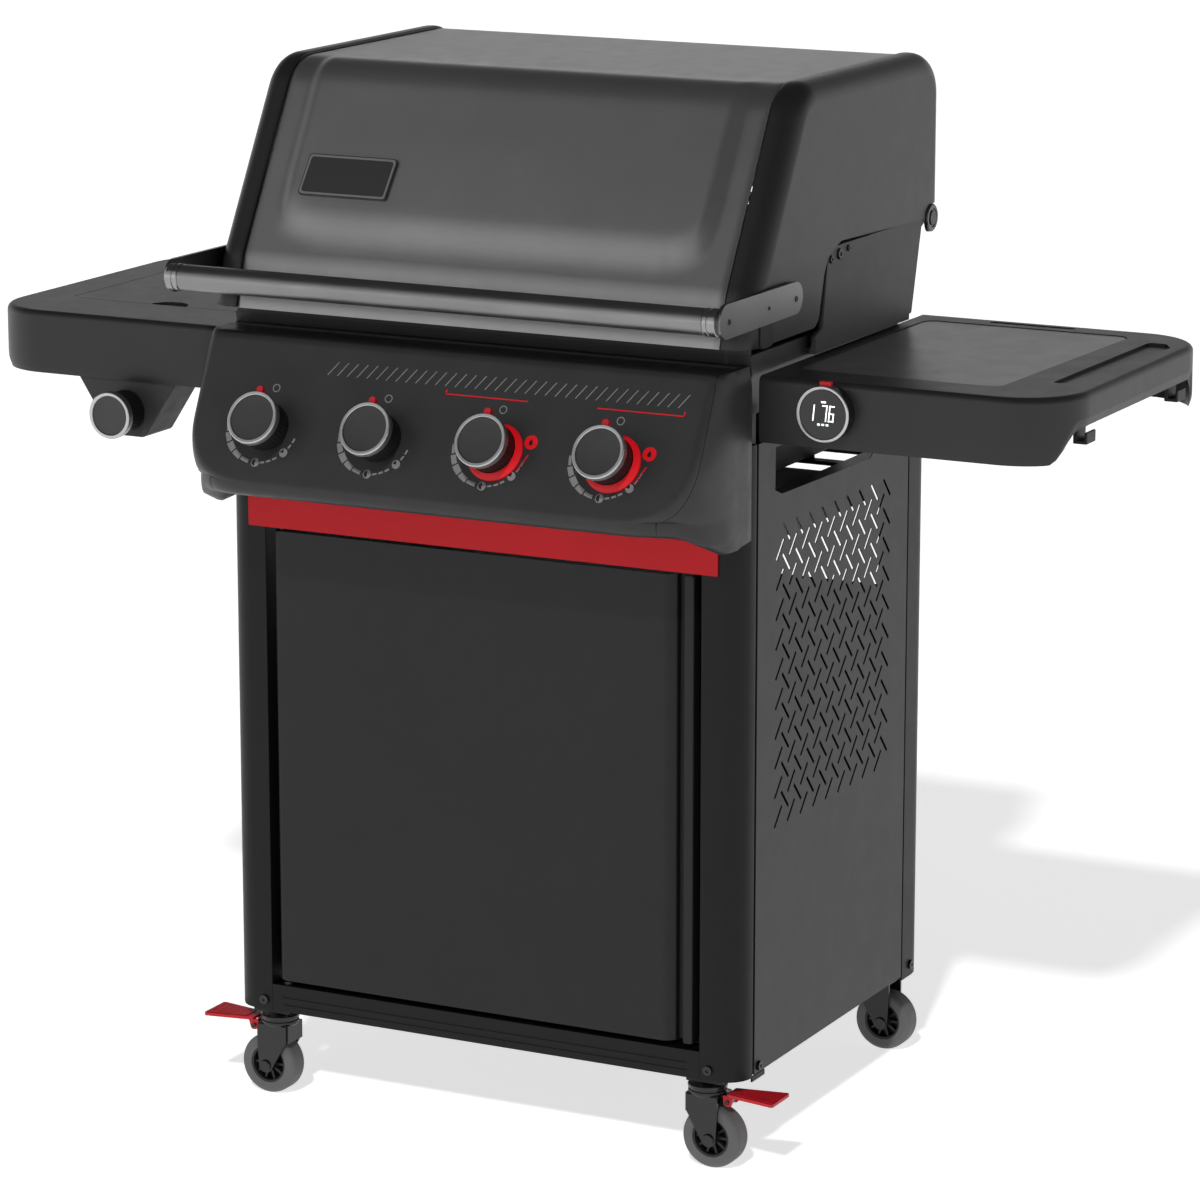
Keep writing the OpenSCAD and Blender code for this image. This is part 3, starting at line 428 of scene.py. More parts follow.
def cut_out(obj, cutters):
    """Subtracts closed prisms, given as functions that add themselves to a bmesh."""
    bm = bmesh.new()
    for cutter in cutters:
        cutter(bm)
    mesh = finish_mesh("cutter", bm, smooth=False)
    tool = bpy.data.objects.new("cutter", mesh)
    bpy.context.scene.collection.objects.link(tool)
    modifier = obj.modifiers.new("cut", "BOOLEAN")
    modifier.operation = "DIFFERENCE"
    modifier.solver = "EXACT"
    modifier.object = tool
    bpy.context.view_layer.update()
    depsgraph = bpy.context.evaluated_depsgraph_get()
    result = bpy.data.meshes.new_from_object(obj.evaluated_get(depsgraph))
    obj.modifiers.clear()
    obj.data = result
    bpy.data.objects.remove(tool)


# ---- Lid -----------------------------------------------------------------------------------------

FRONT_TILT = 30                 # lean of the front above the bend, degrees
BEND = (2.6, 919)               # where the front skirt meets the leaning front, in (Y, Z)
SKIRT_Z, REAR_FOOT_Z = 866, 955
LID_BACK = 470
SHEET_HALF = 279                # half-width of the sheet between the cast ends
EDGE_R = 22                     # outer edge of the cast ends
HINGE = (443, 940)
EMBOSS = 6.5                    # height of the raised panel on the front
EMBOSS_SIDE = (238, 256)        # its slopes, as |X| at the sides,
EMBOSS_LOW = (14, 57)           # as distance above the bend along the lower edge,
EMBOSS_TOP = (108, 150)         # and as Y past the top edge
EMBOSS_CORNER = (205, 91, 34)   # centre and radius of its round lower corners
TOP_FROM_Z = 1060               # points above this lie on the top or its front edge
TAN_FRONT = math.tan(math.radians(FRONT_TILT))
COS_FRONT = math.cos(math.radians(FRONT_TILT))

LID_CORNERS = [(-12, SKIRT_Z), BEND, (BEND[0] + (LID_TOP - BEND[1]) * TAN_FRONT, LID_TOP),
               (LID_BACK, LID_TOP), (LID_BACK, REAR_FOOT_Z)]
LID_RADII = [0, 60, 54, 45, 0]


def offset_open(points, t):
    """An open outline, walked with the object on its right, moved inwards by t."""
    lines = []
    for a, b in zip(points, points[1:]):
        u = (Vector(b) - Vector(a)).normalized()
        n = Vector((u.y, -u.x)) * t
        lines.append((Vector(a) + n, u))
    out = [lines[0][0]]
    for (p, u), (q, v) in zip(lines, lines[1:]):
        cross = u.x * v.y - u.y * v.x
        s = ((q.x - p.x) * v.y - (q.y - p.y) * v.x) / cross
        out.append(p + u * s)
    last, u = lines[-1]
    out.append(last + u * (Vector(points[-1]) - Vector(points[-2])).length)
    return out


def resample(points, count):
    """count + 1 points spread evenly along a chain, its ends kept."""
    lengths = [0.0]
    for a, b in zip(points, points[1:]):
        lengths.append(lengths[-1] + (Vector(b) - Vector(a)).length)
    out = []
    k = 0
    for i in range(count + 1):
        s = lengths[-1] * i / count
        while k < len(points) - 2 and lengths[k + 1] < s:
            k += 1
        f = (s - lengths[k]) / max(1e-9, lengths[k + 1] - lengths[k])
        out.append(tuple(Vector(points[k]).lerp(Vector(points[k + 1]), f)))
    return out


RUNS = (4, 26, 16, 6)           # points on the skirt, front, top and rear
CORNER_STEPS = 10


def lid_profile(t):
    """Side outline of the lid moved in by t, from the front skirt over the top to the rear foot.

    Every value of t gives the same number of points, so that outlines can be joined into a grid."""
    corners = offset_open(LID_CORNERS, t)
    corners[0] = Vector((corners[0].x, SKIRT_Z))
    corners[-1] = Vector((corners[-1].x, REAR_FOOT_Z))
    arcs = [[corners[0]]]
    for i in (1, 2, 3):
        radius = max(6, LID_RADII[i] - (t if i > 1 else 0))
        arcs.append(round_corner(corners[i - 1], corners[i], corners[i + 1], radius, CORNER_STEPS))
    arcs.append([corners[-1]])
    points = []
    for i, count in enumerate(RUNS):
        run = resample([arcs[i][-1], arcs[i + 1][0]], count)
        points += run[:-1]
        points += list(arcs[i + 1][:-1]) if i < 3 else [run[-1]]
    return [tuple(p) for p in points]


def emboss(x, y, z):
    """Height of the raised panel at a point of the lid's front."""
    up = (z - BEND[1]) / COS_FRONT
    side = 1 - smoothstep(abs(x), *EMBOSS_SIDE)
    low = smoothstep(up, *EMBOSS_LOW)
    centre_x, centre_up, radius = EMBOSS_CORNER
    corner_x = max(0.0, abs(x) - centre_x) / radius
    corner_up = max(0.0, centre_up - up) / radius
    if corner_x > 0 and corner_up > 0:
        reach = math.hypot(corner_x, corner_up)
        low = min(low, 1 - smoothstep(reach, 1.0, 2.15)) if reach > 1 else low
    top = 1 - smoothstep(y, *EMBOSS_TOP) if z > TOP_FROM_Z else 1.0
    return EMBOSS * side * low * top


def build_lid_sheet():
    """The sheet between the cast ends: front skirt, raised front panel, top and rear."""
    columns = [SHEET_HALF * i / 62 for i in range(-62, 63)]
    base = lid_profile(0)
    rows = [[] for _ in base]
    for x in columns:
        edge = smoothstep(abs(x), SHEET_HALF - 4, SHEET_HALF)
        for k, (y, z) in enumerate(base):
            before, after = base[max(0, k - 1)], base[min(len(base) - 1, k + 1)]
            along = (Vector(after) - Vector(before)).normalized()
            out = Vector((-along.y, along.x))
            on_top = smoothstep(y, 100, 150) if z > TOP_FROM_Z else 0.0
            depth = 1.0 + 1.6 * on_top + 1.2 * edge
            h = emboss(x, y, z) - depth
            rows[k].append((x, y + out.x * h, min(z + out.y * h, LID_TOP - 0.2)))
    bm = bmesh.new()
    grid_faces(bm, rows)
    obj = add_piece("lid_front_and_top", bm, "lid", M["lid"], ("lid_shell",), sharp=60)
    thicken(obj, 2.0)


CAP_STATIONS = [(SHEET_HALF + 1.3, 5.0), (SHEET_HALF + 1.3, 2.4), (SHEET_HALF + 1.8, 1.0),
                (SHEET_HALF + 3.2, 0.25), (SHEET_HALF + 6, 0.0), (LID_HALF - EDGE_R - 1, 0.0)]
ROUNDING_STEPS = 12


def cap_lower_edge(front_y, rear_y):
    """Lower edge of the lid's side face, from the rear round to the front, in (Y, Z)."""
    corners = [(rear_y, 926), (434, 925), (426, 941), (210, 947), (173, 934), (154, SKIRT_Z)]
    radii = [6, 8, 10, 22, 40, 16]
    chain = [(rear_y, REAR_FOOT_Z)] + corners + [(front_y, SKIRT_Z)]
    points = []
    for i in range(1, len(chain) - 1):
        points += round_corner(chain[i - 1], chain[i], chain[i + 1], radii[i - 1], 6)
    return points


def build_lid_cap(side):
    """A cast end of the lid, with its hinge cover, fixings and corner lug."""
    name = "right" if side > 0 else "left"
    stations = list(CAP_STATIONS)
    for i in range(1, ROUNDING_STEPS + 1):
        a = math.pi / 2 * i / ROUNDING_STEPS
        stations.append((LID_HALF - EDGE_R + EDGE_R * math.sin(a), EDGE_R * (1 - math.cos(a))))
    rows = [[(side * x, y, z) for y, z in lid_profile(t)] for x, t in stations]
    bm = bmesh.new()
    verts = grid_faces(bm, rows)
    edge = verts[-1]
    lower = cap_lower_edge(edge[0].co.y, edge[-1].co.y)
    face = list(edge) + [bm.verts.new((side * LID_HALF, y, z)) for y, z in lower]
    bm.faces.new(face)
    obj = add_piece(name + "_lid_end", bm, "lid", M["cap"], (name + "_lid_cap",), sharp=38)
    thicken(obj, 2.2, even=False)

    bm = bmesh.new()
    x0 = LID_HALF - 2
    lathe(bm, [(0, x0), (15, x0), (15, x0 + 3.2), (13.6, x0 + 4.2), (10.5, x0 + 4.2), (10, x0 + 3.2),
               (8.6, x0 + 3.2)], (0, *HINGE), "x", 48)
    mirror_x(bm.verts, side)
    add_piece(name + "_hinge_cover", bm, "lid", M["gloss_black"])
    bm = bmesh.new()
    for y, z, r in ((186, 931, 4.2), (207, 934, 5.8), (229, 937, 3.4)):
        lathe(bm, [(0, x0), (r, x0), (r, x0 + 2.9), (r - 0.8, x0 + 3.4), (r * 0.45, x0 + 3.4),
                   (r * 0.4, x0 + 2.5), (0, x0 + 2.5)], (0, y, z), "x", 24)
    mirror_x(bm.verts, side)
    add_piece(name + "_lid_fixings", bm, "lid", M["screw"])
    # lug under the front corner, in shadow behind the handle bracket
    bm = bmesh.new()
    lip = rounded([(14, 864), (44, 864), (44, 889), (14, 889)], [6, 6, 3, 3], 4)
    prism(bm, lip, 292, LID_HALF + 1.2, "x")
    bevel_sharp(bm, 1.2)
    mirror_x(bm.verts, side)
    add_piece(name + "_corner_lug", bm, "lid", M["frame"])


# ---- Handle and badge ----------------------------------------------------------------------------

HANDLE_Y, HANDLE_Z = -82.4, 906.2
TUBE_END = 301
BRACKET_X = 314.5
BRACKET_T = 4


def build_handle():
    bm = bmesh.new()
    lathe(bm, [(0, -TUBE_END), (12.6, -TUBE_END), (13.5, -TUBE_END + 1), (13.5, TUBE_END - 1),
               (12.6, TUBE_END), (0, TUBE_END)], (0, HANDLE_Y, HANDLE_Z), "x", 72)
    add_piece("handle_tube", bm, "lid", M["chrome"], ("lid_handle",))
    for side, name in ((-1, "left"), (1, "right")):
        bm = bmesh.new()
        e = TUBE_END
        lathe(bm, [(0, e - 0.4), (13.4, e - 0.4), (14.1, e + 0.4), (14.1, e + 4.4), (13.3, e + 4.9),
                   (13.3, e + 5.7), (14.1, e + 6.2), (14.1, BRACKET_X - 0.6), (13.4, BRACKET_X + 0.2),
                   (0, BRACKET_X + 0.2)], (0, HANDLE_Y, HANDLE_Z), "x", 72)
        mirror_x(bm.verts, side)
        add_piece(name + "_handle_ferrule", bm, "lid", M["ferrule"])

    plate = round_plate((-73, HANDLE_Z), 17.5, (86.5, HANDLE_Z), 16.5)
    spacer = round_plate((44, HANDLE_Z), 12.5, (82, HANDLE_Z), 12.5)
    bm = bmesh.new()
    for side in (-1, 1):
        made = prism(bm, plate, BRACKET_X, BRACKET_X + BRACKET_T, "x")
        made += prism(bm, spacer, LID_HALF - 0.5, BRACKET_X + 0.5, "x")
        mirror_x(made, side)
    bevel_sharp(bm, 0.7, 2)
    add_piece("handle_bracket_plates", bm, "lid", M["bracket"], ("handle_brackets",))
    bm = bmesh.new()
    x0 = BRACKET_X + BRACKET_T - 0.6
    for side in (-1, 1):
        first = len(bm.verts)
        for y, r in ((-69, 3.2), (23, 2.0), (87, 3.2)):
            lathe(bm, [(0, x0), (r, x0), (r, x0 + 1.0), (r - 0.6, x0 + 1.4), (r * 0.45, x0 + 1.4),
                       (r * 0.35, x0 + 0.7), (0, x0 + 0.7)], (0, y, HANDLE_Z - 1), "x", 24)
        bm.verts.ensure_lookup_table()
        mirror_x(bm.verts[first:], side)
    add_piece("handle_bracket_screws", bm, "lid", M["screw"])


def round_plate(a, ra, b, rb, steps=14):
    """Outline of a plate round two discs, in its own plane."""
    return arc(b, rb, -90, 90, steps) + arc(a, ra, 90, 270, steps)


def on_front(p):
    """A point in the frame of the lid's slanted front: right, up along it, out of it."""
    x, up, out = p
    sin, cos = math.sin(math.radians(FRONT_TILT)), COS_FRONT
    return Vector((x, BEND[0] + up * sin - out * cos, BEND[1] + up * cos + out * sin))


def build_badge():
    width, height, lean = 105, 46.5, 3.5
    x0, up0 = -229, 69
    base = EMBOSS - 1.2
    plate = [(x0, up0), (x0 + width, up0), (x0 + width + lean, up0 + height), (x0 + lean, up0 + height)]
    outline = rounded(plate, [4, 3, 4, 3], 4)
    centre = Vector((x0 + (width + lean) / 2, up0 + height / 2))

    def shrink(t):
        return [tuple(centre + Vector(((p[0] - centre.x) * (1 - 2 * t / width),
                                       (p[1] - centre.y) * (1 - 2 * t / height)))) for p in outline]

    bm = bmesh.new()
    prism(bm, outline, base, base + 3.0)
    bevel_sharp(bm, 0.5)
    for v in bm.verts:
        v.co = on_front(v.co)
    add_piece("badge_plate", bm, "lid", M["badge"], ("name_plate",))
    bm = bmesh.new()
    outer, inner = shrink(1.2), shrink(3.4)
    low, high = base + 2.8, base + 3.5
    rings = [[bm.verts.new((p[0], p[1], h)) for p in ring]
             for ring, h in ((outer, low), (outer, high), (inner, high), (inner, low))]
    close_walls(bm, rings + rings[:1])
    for v in bm.verts:
        v.co = on_front(v.co)
    add_piece("badge_rim", bm, "lid", M["badge_rim"])


# ---- Control panel -------------------------------------------------------------------------------

PANEL_TILT = 28
FACE = (-87.5, 758)
SIN_P, COS_P = math.sin(math.radians(PANEL_TILT)), math.cos(math.radians(PANEL_TILT))
KNOB_PITCH = 132.5
KNOB_X = [(i - 1.5) * KNOB_PITCH for i in range(4)]
FIRST_RED_KNOB = 2      # the two right-hand burners have a red zone
KNOB_GAP = 1.0          # between the panel and the knob's foot
KNOB_R, KNOB_LEN = 28.5, 34
SIDE_KNOB_AT, SIDE_KNOB_R, SIDE_KNOB_LEN = (-449.0, 38.0, 733.5), 25.5, 36


def at_control(p, x0=0.0):
    """A point in the frame of the control panel's face: right, up along it, out of it."""
    x, up, out = p
    return Vector((x0 + x, FACE[0] + up * SIN_P - out * COS_P, FACE[1] + up * COS_P + out * SIN_P))


PANEL_TOP, PANEL_BACK = 846, 18


def face_y(z):
    return FACE[0] + (z - FACE[1]) * SIN_P / COS_P


PANEL_CORNERS = [(PANEL_BACK, PANEL_TOP), (face_y(PANEL_TOP), PANEL_TOP), (face_y(692), 692),
                 (-46, 676), (-16, 668), (PANEL_BACK, 668)]


def panel_profile():
    """Side outline of the control panel from its rear top edge over the face to its rear foot."""
    c = PANEL_CORNERS
    top = round_corner(c[0], c[1], c[2], 15, 8)
    lip = round_corner(c[1], c[2], c[3], 13, 10)
    heel = round_corner(c[2], c[3], c[4], 50, 4)
    points = resample([c[0], top[0]], 6)[:-1] + list(top[:-1])
    points += resample([top[-1], lip[0]], 26)[:-1] + list(lip[:-1])
    points += resample([lip[-1], heel[0]], 8)[:-1] + list(heel)
    points += resample([heel[-1], c[5]], 3)[1:]
    return points


def panel_half_width(z):
    """Half-width of the flat part of the face at height z, with large lower corners."""
    up = (z - FACE[1]) / COS_P
    radius = 64
    over = min(radius, max(0.0, (-59 + radius) - up))
    return 283 - (radius - math.sqrt(max(0.0, radius ** 2 - over ** 2)))


# joint line round the face, in degrees of each end's sweep, and the lobe that hangs below the lip
SEAM_AT, SEAM_DEPTH, LOBE_DROP = 27, 1.3, 15
SEAM_ANGLES = sorted([90 * i / 14 for i in range(1, 15) if abs(90 * i / 14 - SEAM_AT) > 2]
                     + [SEAM_AT - 0.6, SEAM_AT, SEAM_AT + 0.6], reverse=True)


def build_control_panel():
    """The moulding: a leaning face whose ends sweep back to the posts, each with a seam and a lobe."""
    flat_steps = 40
    side_depth = 26
    rows = []
    for y, z in panel_profile():
        half = panel_half_width(z)
        reach = PANEL_BACK - y
        end = min(reach, side_depth + 0.10 * reach)
        widest = POSTS_HALF - 0.3 - 3 * smoothstep(z, 822, 846)
        chain = []
        for a in SEAM_ANGLES:
            x = half + (widest - half) * math.sin(math.radians(a))
            back = PANEL_BACK - end - (reach - end) * math.cos(math.radians(a))
            low = 1 - smoothstep(z, 676, 726)
            lobe = LOBE_DROP * low * smoothstep(x, 268, 294) * (1 - smoothstep(back, -34, 14))
            sunk = SEAM_DEPTH if a == SEAM_AT else 0
            lift = 0.8 if z < 690 else -0.5
            chain.append((x - 0.4 * sunk, back + 0.8 * sunk, z - lobe + sunk * lift))
        row = [(-x, back, height) for x, back, height in chain]
        row += [(half * (2 * i / flat_steps - 1), y, z) for i in range(flat_steps + 1)]
        row += list(reversed(chain))
        side_y = PANEL_BACK - min(reach, side_depth * 0.4)
        row = [(-widest, PANEL_BACK, z), (-widest, side_y, z)] + row
        row += [(widest, side_y, z), (widest, PANEL_BACK, z)]
        rows.append(row)
    bm = bmesh.new()
    grid_faces(bm, rows)
    bmesh.ops.remove_doubles(bm, verts=bm.verts, dist=0.01)
    obj = add_piece("control_panel_moulding", bm, "cart", M["moulding"],
                    ("control_panel",), sharp=55)
    thicken(obj, 2.6, even=False)


PRINT_H = 0.35


def print_mesh(name, shapes, material, low=-0.3, high=PRINT_H):
    """Thin printed shapes on the face of the control panel; each is an outline in its plane."""
    bm = bmesh.new()
    for outline in shapes:
        prism(bm, outline, low, high)
    for v in bm.verts:
        v.co = at_control(v.co)
    add_piece(name, bm, "cart", material)


def ring_sector(centre, inner, outer, start, end, steps=14):
    return arc(centre, outer, start, end, steps) + arc(centre, inner, end, start, steps)


def disc(centre, radius, steps=20):
    return arc(centre, radius, 0, 360, steps)[:-1]


SCALE_AT, SCALE_R = (-4.6, 3.2), 41.6       # centre of a knob's scale, from the knob's axis
SCALE_BANDS = (1.6, 2.9, 3.5, 3.0, 2.0)     # half-widths of its bands, from 9 to 6 o'clock
SCALE_DASHES = (278, 288, 298, 326, 336)    # the dashes that follow, in degrees
RED_SPOT_DROP = ((-2.2, -3), (2.2, -3), (1.6, 1), (0, 3.4), (-2, 0.6))
HATCH_X, HATCH_PITCH, HATCH_COUNT = -138, 11.45, 36


def build_panel_print():
    """Hatch line over the knobs, each knob's scale, and the red marks of the right-hand burners."""
    hatch = []
    for i in range(HATCH_COUNT):
        x = HATCH_X + i * HATCH_PITCH
        hatch.append([(x - 5.5, 62), (x - 4.3, 62), (x + 5.7, 76.5), (x + 4.5, 76.5)])
    print_mesh("panel_hatch_print", hatch, M["grey_print"])
    greys, reds, darks = [], [], []
    for n, x in enumerate(KNOB_X):
        c = (x + SCALE_AT[0], SCALE_AT[1])
        greys += [ring_sector((x, 43), 3.3, 4.5, a, a + 90) for a in (0, 90, 180, 270)]
        for k, half in enumerate(SCALE_BANDS):
            a0, a1 = 181 + k * 16, 181 + (k + 1) * 16 - 2.2
            greys.append(ring_sector(c, SCALE_R - half, SCALE_R + half, a0, a1, 8))
        greys += [ring_sector(c, SCALE_R - 1, SCALE_R + 1, a, a + 7, 4) for a in SCALE_DASHES]
        for a, fill in ((270, 0.5), (317, 0.25)):
            p = arc(c, SCALE_R, a, a, 1)[0]
            greys.append(disc(p, 4.7))
            darks.append([p] + arc(p, 3.6, 90, 90 + 360 * fill, 10))
        if n >= FIRST_RED_KNOB:
            p = (x + 39.3, 12)
            reds.append(disc(p, 7.5))
            drop = [(p[0] + dx, p[1] + dy) for dx, dy in RED_SPOT_DROP]
            darks.append(rounded(drop, [1.2, 1.2, 0.6, 0.3, 0.6], 3))
            reds.append([(x + 38.5, -1.5), (x + 39.9, -1.5), (x + 30.7, -19.5), (x + 29.3, -19.5)])
    # bracket line over the two right-hand burners
    reds += [rect(-3, 53.4, 92, 54.6), rect(170, 53.4, 267, 54.6), rect(-3, 53.4, -1.8, 58.5),
             rect(265.8, 53.4, 267, 58.5)]
    print_mesh("panel_grey_print", greys, M["grey_print"])
    print_mesh("panel_red_print", reds, M["red_print"])
    print_mesh("panel_dark_print", darks, M["grip"], 0, PRINT_H + 0.15)


def build_knob(name, body, place, radius, length, red_zone, pointer, stands_for):
    """A control knob: ribbed grip, metal ring, dished face, red pointer and red zone round its foot."""
    gap = KNOB_GAP

    def part(suffix, material, fill, replaced=()):
        bm = bmesh.new()
        fill(bm)
        add_piece(name + suffix, bm, body, material, replaced,
                  place=lambda v: to_row(place(v)))

    grip = radius - 3.6     # radius of the grip behind the ring
    top = gap + length

    def grip_part(bm):
        steps = 144
        profile = [(8, gap), (grip, gap), (grip, gap + 2), (grip, top - 12), (grip + 0.6, top - 11),
                   (grip - 1, top - 9)]
        rings = []
        for r, h in profile:
            ring = []
            for i in range(steps):
                ribbed = gap + 3 < h + 2 and h < top - 9 and h > gap
                rr = r + (0.55 if ribbed and i % 4 in (0, 1) else 0.0)
                a = 2 * math.pi * i / steps
                ring.append(bm.verts.new((rr * math.cos(a), rr * math.sin(a), h)))
            rings.append(ring)
        close_walls(bm, rings)
        bm.faces.new(rings[0])
        bm.faces.new(rings[-1])

    part("_grip", M["grip"], grip_part, stands_for)
    part("_ring", M["ring"], lambda bm: turned_ring(bm, [
        (grip - 2, top - 9.4), (radius - 1.6, top - 9.4), (radius - 0.3, top - 8), (radius, top - 6.5),
        (radius, top - 1.2), (radius - 0.5, top - 0.4), (radius - 1.2, top), (radius - 3.6, top - 0.1),
        (radius - 4.2, top - 0.6), (radius - 4.4, top - 2)], steps=96))
    part("_face", M["knob_face"], lambda bm: lathe(bm, [
        (radius - 4.2, top - 5), (radius - 4.2, top - 1.6), (radius - 4.9, top - 1.15),
        (radius - 9, top - 1.5), (radius - 16, top - 1.9), (0, top - 2.1)], steps=72))
    if pointer:
        def pointer_part(bm):
            root = grip - 1.5
            tab = [(-4, root), (4, root), (3.3, radius + 6), (-3.3, radius + 6)]
            spine = [(-3.4, root), (3.4, root), (3.0, grip + 2.6), (-3.0, grip + 2.6)]
            prism(bm, rounded(tab, [0.8, 0.8, 2.6, 2.6], 3), top - 9, top - 2.6)
            prism(bm, rounded(spine, [0.5, 0.5, 1.2, 1.2], 3), gap + 5, top - 8.8)
            bevel_sharp(bm, 0.6)
        part("_pointer", M["red_plastic"], pointer_part)
    if red_zone:
        def crescent(bm):
            steps = 40
            start, end = -168, 86
            rows = []
            for i in range(steps + 1):
                a = math.radians(start + (end - start) * i / steps)
                wide = 7.2 * math.sin(math.pi * i / steps) ** 0.45
                r0, r1 = grip + 0.9, grip + 1.0 + wide
                section = ((r0, gap - 0.7), (r0, gap + 4.6), ((r0 + r1) / 2, gap + 4.2),
                           (r1, gap + 1.6), (r1, gap - 0.7))
                rows.append([(r * math.cos(a), r * math.sin(a), h) for r, h in section])
            verts = grid_faces(bm, rows)
            for a, b in zip(verts, verts[1:]):
                bm.faces.new((a[-1], b[-1], b[0], a[0]))
            bm.faces.new(verts[0])
            bm.faces.new(list(reversed(verts[-1])))
        part("_red_zone", M["red_print"], crescent)


def build_knobs():
    for i, x in enumerate(KNOB_X):
        node = "knob_%d" % (i + 1)
        build_knob(node, node + "_body", lambda v, x=x: at_control(v, x), KNOB_R, KNOB_LEN,
                   i >= FIRST_RED_KNOB, True, (node,))
    x, y, z = SIDE_KNOB_AT
    build_knob("side_knob", "side_burner_knob_body", lambda v: Vector((x + v.x, y - v.z, z + v.y)),
               SIDE_KNOB_R, SIDE_KNOB_LEN, False, False, ("side_burner_knob",))


# ---- Shelves -------------------------------------------------------------------------------------

SHELF_IN, SHELF_FRONT, SHELF_REAR = 303, 33, 452
SHELF_R = 72        # outer corners in plan
SHELF_EDGE_R = 7    # top edge
SHELF_TUCK = 2.6    # how far the skirt's lower edge turns in
SHELF_H = 68        # skirt in front and behind
RIM_H = 34          # rim at the side


def shelf_plan(t):
    """Plan outline of a shelf moved in by t, from the inner front corner round to the inner rear."""
    r = SHELF_R - t
    x0, x1 = SHELF_IN + 0.2, SHELF_OUT - t
    y0, y1 = SHELF_FRONT + t, SHELF_REAR - t
    chain = resample([(x0, y0), (x1 - r, y0)], 8)[:-1]
    chain += arc((x1 - r, y0 + r), r, -90, 0, 16)[:-1]
    chain += resample([(x1, y0 + r), (x1, y1 - r)], 10)[:-1]
    chain += arc((x1 - r, y1 - r), r, 0, 90, 16)[:-1]
    chain += resample([(x1 - r, y1), (x0, y1)], 8)
    return chain


def shelf_foot(p):
    """Height of the skirt's lower edge at a point of the plan: low in front and behind, high between."""
    rise = smoothstep(p[1], 54, 84) * (1 - smoothstep(p[1], 392, 414))
    return SHELF_TOP - SHELF_H + (SHELF_H - RIM_H) * rise


def build_shelf(side, cutters):
    """A hollow moulded shelf; cutters are the openings through its top."""
    name = "right" if side > 0 else "left"
    foot = shelf_plan(0)
    rows = [[(side * x, y, shelf_foot((x, y))) for x, y in shelf_plan(SHELF_TUCK)],
            [(side * x, y, shelf_foot((x, y)) + 8) for x, y in foot]]
    for part in (0.34, 0.67):
        row = []
        for x, y in foot:
            low = shelf_foot((x, y))
            row.append((side * x, y, low + part * (SHELF_TOP - SHELF_EDGE_R - low)))
        rows.append(row)
    for i in range(7):
        a = math.pi / 2 * i / 6
        rows.append([(side * x, y, SHELF_TOP - SHELF_EDGE_R + SHELF_EDGE_R * math.sin(a))
                     for x, y in shelf_plan(SHELF_EDGE_R * (1 - math.cos(a)))])
    bm = bmesh.new()
    verts = grid_faces(bm, rows)
    bm.faces.new(verts[-1])
    # the inner wall and a closed underside make the shelf one solid before it is hollowed
    bm.faces.new(verts[0])
    bm.faces.new([r[0] for r in verts] + [r[-1] for r in reversed(verts)])
    bmesh.ops.triangulate(bm, faces=[f for f in bm.faces if len(f.verts) > 4])
    obj = add_piece(name + "_shelf_moulding", bm, "cart", M["shelf"],
                    (name + "_shelf",), sharp=40)

    def hollow(bm):
        plan = rounded([(SHELF_IN - 5, SHELF_FRONT + 3), (SHELF_OUT - 3, SHELF_FRONT + 3),
                        (SHELF_OUT - 3, SHELF_REAR - 3), (SHELF_IN - 5, SHELF_REAR - 3)],
                       [0, SHELF_R - 3, SHELF_R - 3, 0], 12)
        mirror_x(prism(bm, plan, SHELF_TOP - SHELF_H - 5, SHELF_TOP - 3), side)
    cut_out(obj, [hollow] + cutters)
    for poly in obj.data.polygons:
        poly.use_smooth = True
    obj.data.set_sharp_from_angle(angle=math.radians(35))


INSERT = (320, 87, 541, 417)
INSERT_SLANT = 12
COVER = (345, 127, 575, 360)


def build_right_shelf():
    x0, y0, x1, y1 = INSERT
    corners = [(x0, y0), (x1, y0), (x1 + INSERT_SLANT, y1), (x0, y1)]
    opening = rounded(corners, [14] * 4, 6)
    towel = rounded([(578, 133), (592, 133), (613, 372), (601, 392), (582, 392)], [5, 5, 14, 5, 5], 5)
    rear = rounded(rect(386, 430, 483, 438), [3.9] * 4, 5)
    build_shelf(1, [lambda bm, o=o: prism(bm, o, SHELF_TOP - 12, SHELF_TOP + 5)
                    for o in (opening, towel, rear)])
    # inset work surface, its joint darkened by painted shade on the ledge below
    gap = 1.5
    bm = bmesh.new()
    plate = rounded([(x0 + gap, y0 + gap), (x1 - gap, y0 + gap), (x1 + INSERT_SLANT - gap, y1 - gap),
                     (x0 + gap, y1 - gap)], [13] * 4, 8)
    prism(bm, plate, SHELF_TOP - 4, SHELF_TOP - 0.6)
    bevel_sharp(bm, 0.7, 3)
    add_piece("work_surface", bm, "cart", M["insert"],
               ("right_shelf_insert",))
    # ledge below the joint, painted near-black as shade
    bm = bmesh.new()
    prism(bm, rect(x0 - 5, y0 - 5, x1 + INSERT_SLANT + 5, y1 + 5), SHELF_TOP - 8.5, SHELF_TOP - 4.2)
    add_piece("work_surface_ledge_painted_shade", bm, "cart", M["gap_painted_shade"])
    # near-black plate down in the towel slot: painted shade in the open slot
    bm = bmesh.new()
    prism(bm, rounded([(572, 126), (598, 126), (620, 378), (604, 400), (576, 400)], [5, 5, 14, 5, 5], 4),
          SHELF_TOP - 22, SHELF_TOP - 20)
    add_piece("towel_slot_painted_shade", bm, "cart", M["gap_painted_shade"])


def build_left_shelf():
    x0, y0, x1, y1 = COVER
    opening = rounded(rect(x0 - 1, y0 - 1, x1 + 1, y1 + 2), [8] * 4, 6)

    build_shelf(-1, [lambda bm: mirror_x(prism(bm, opening, SHELF_TOP - 12, SHELF_TOP + 5), -1)])


HOOKS_IN = 3.5      # the hooks sit this much further in than the CAD's, as the shelves' rims do


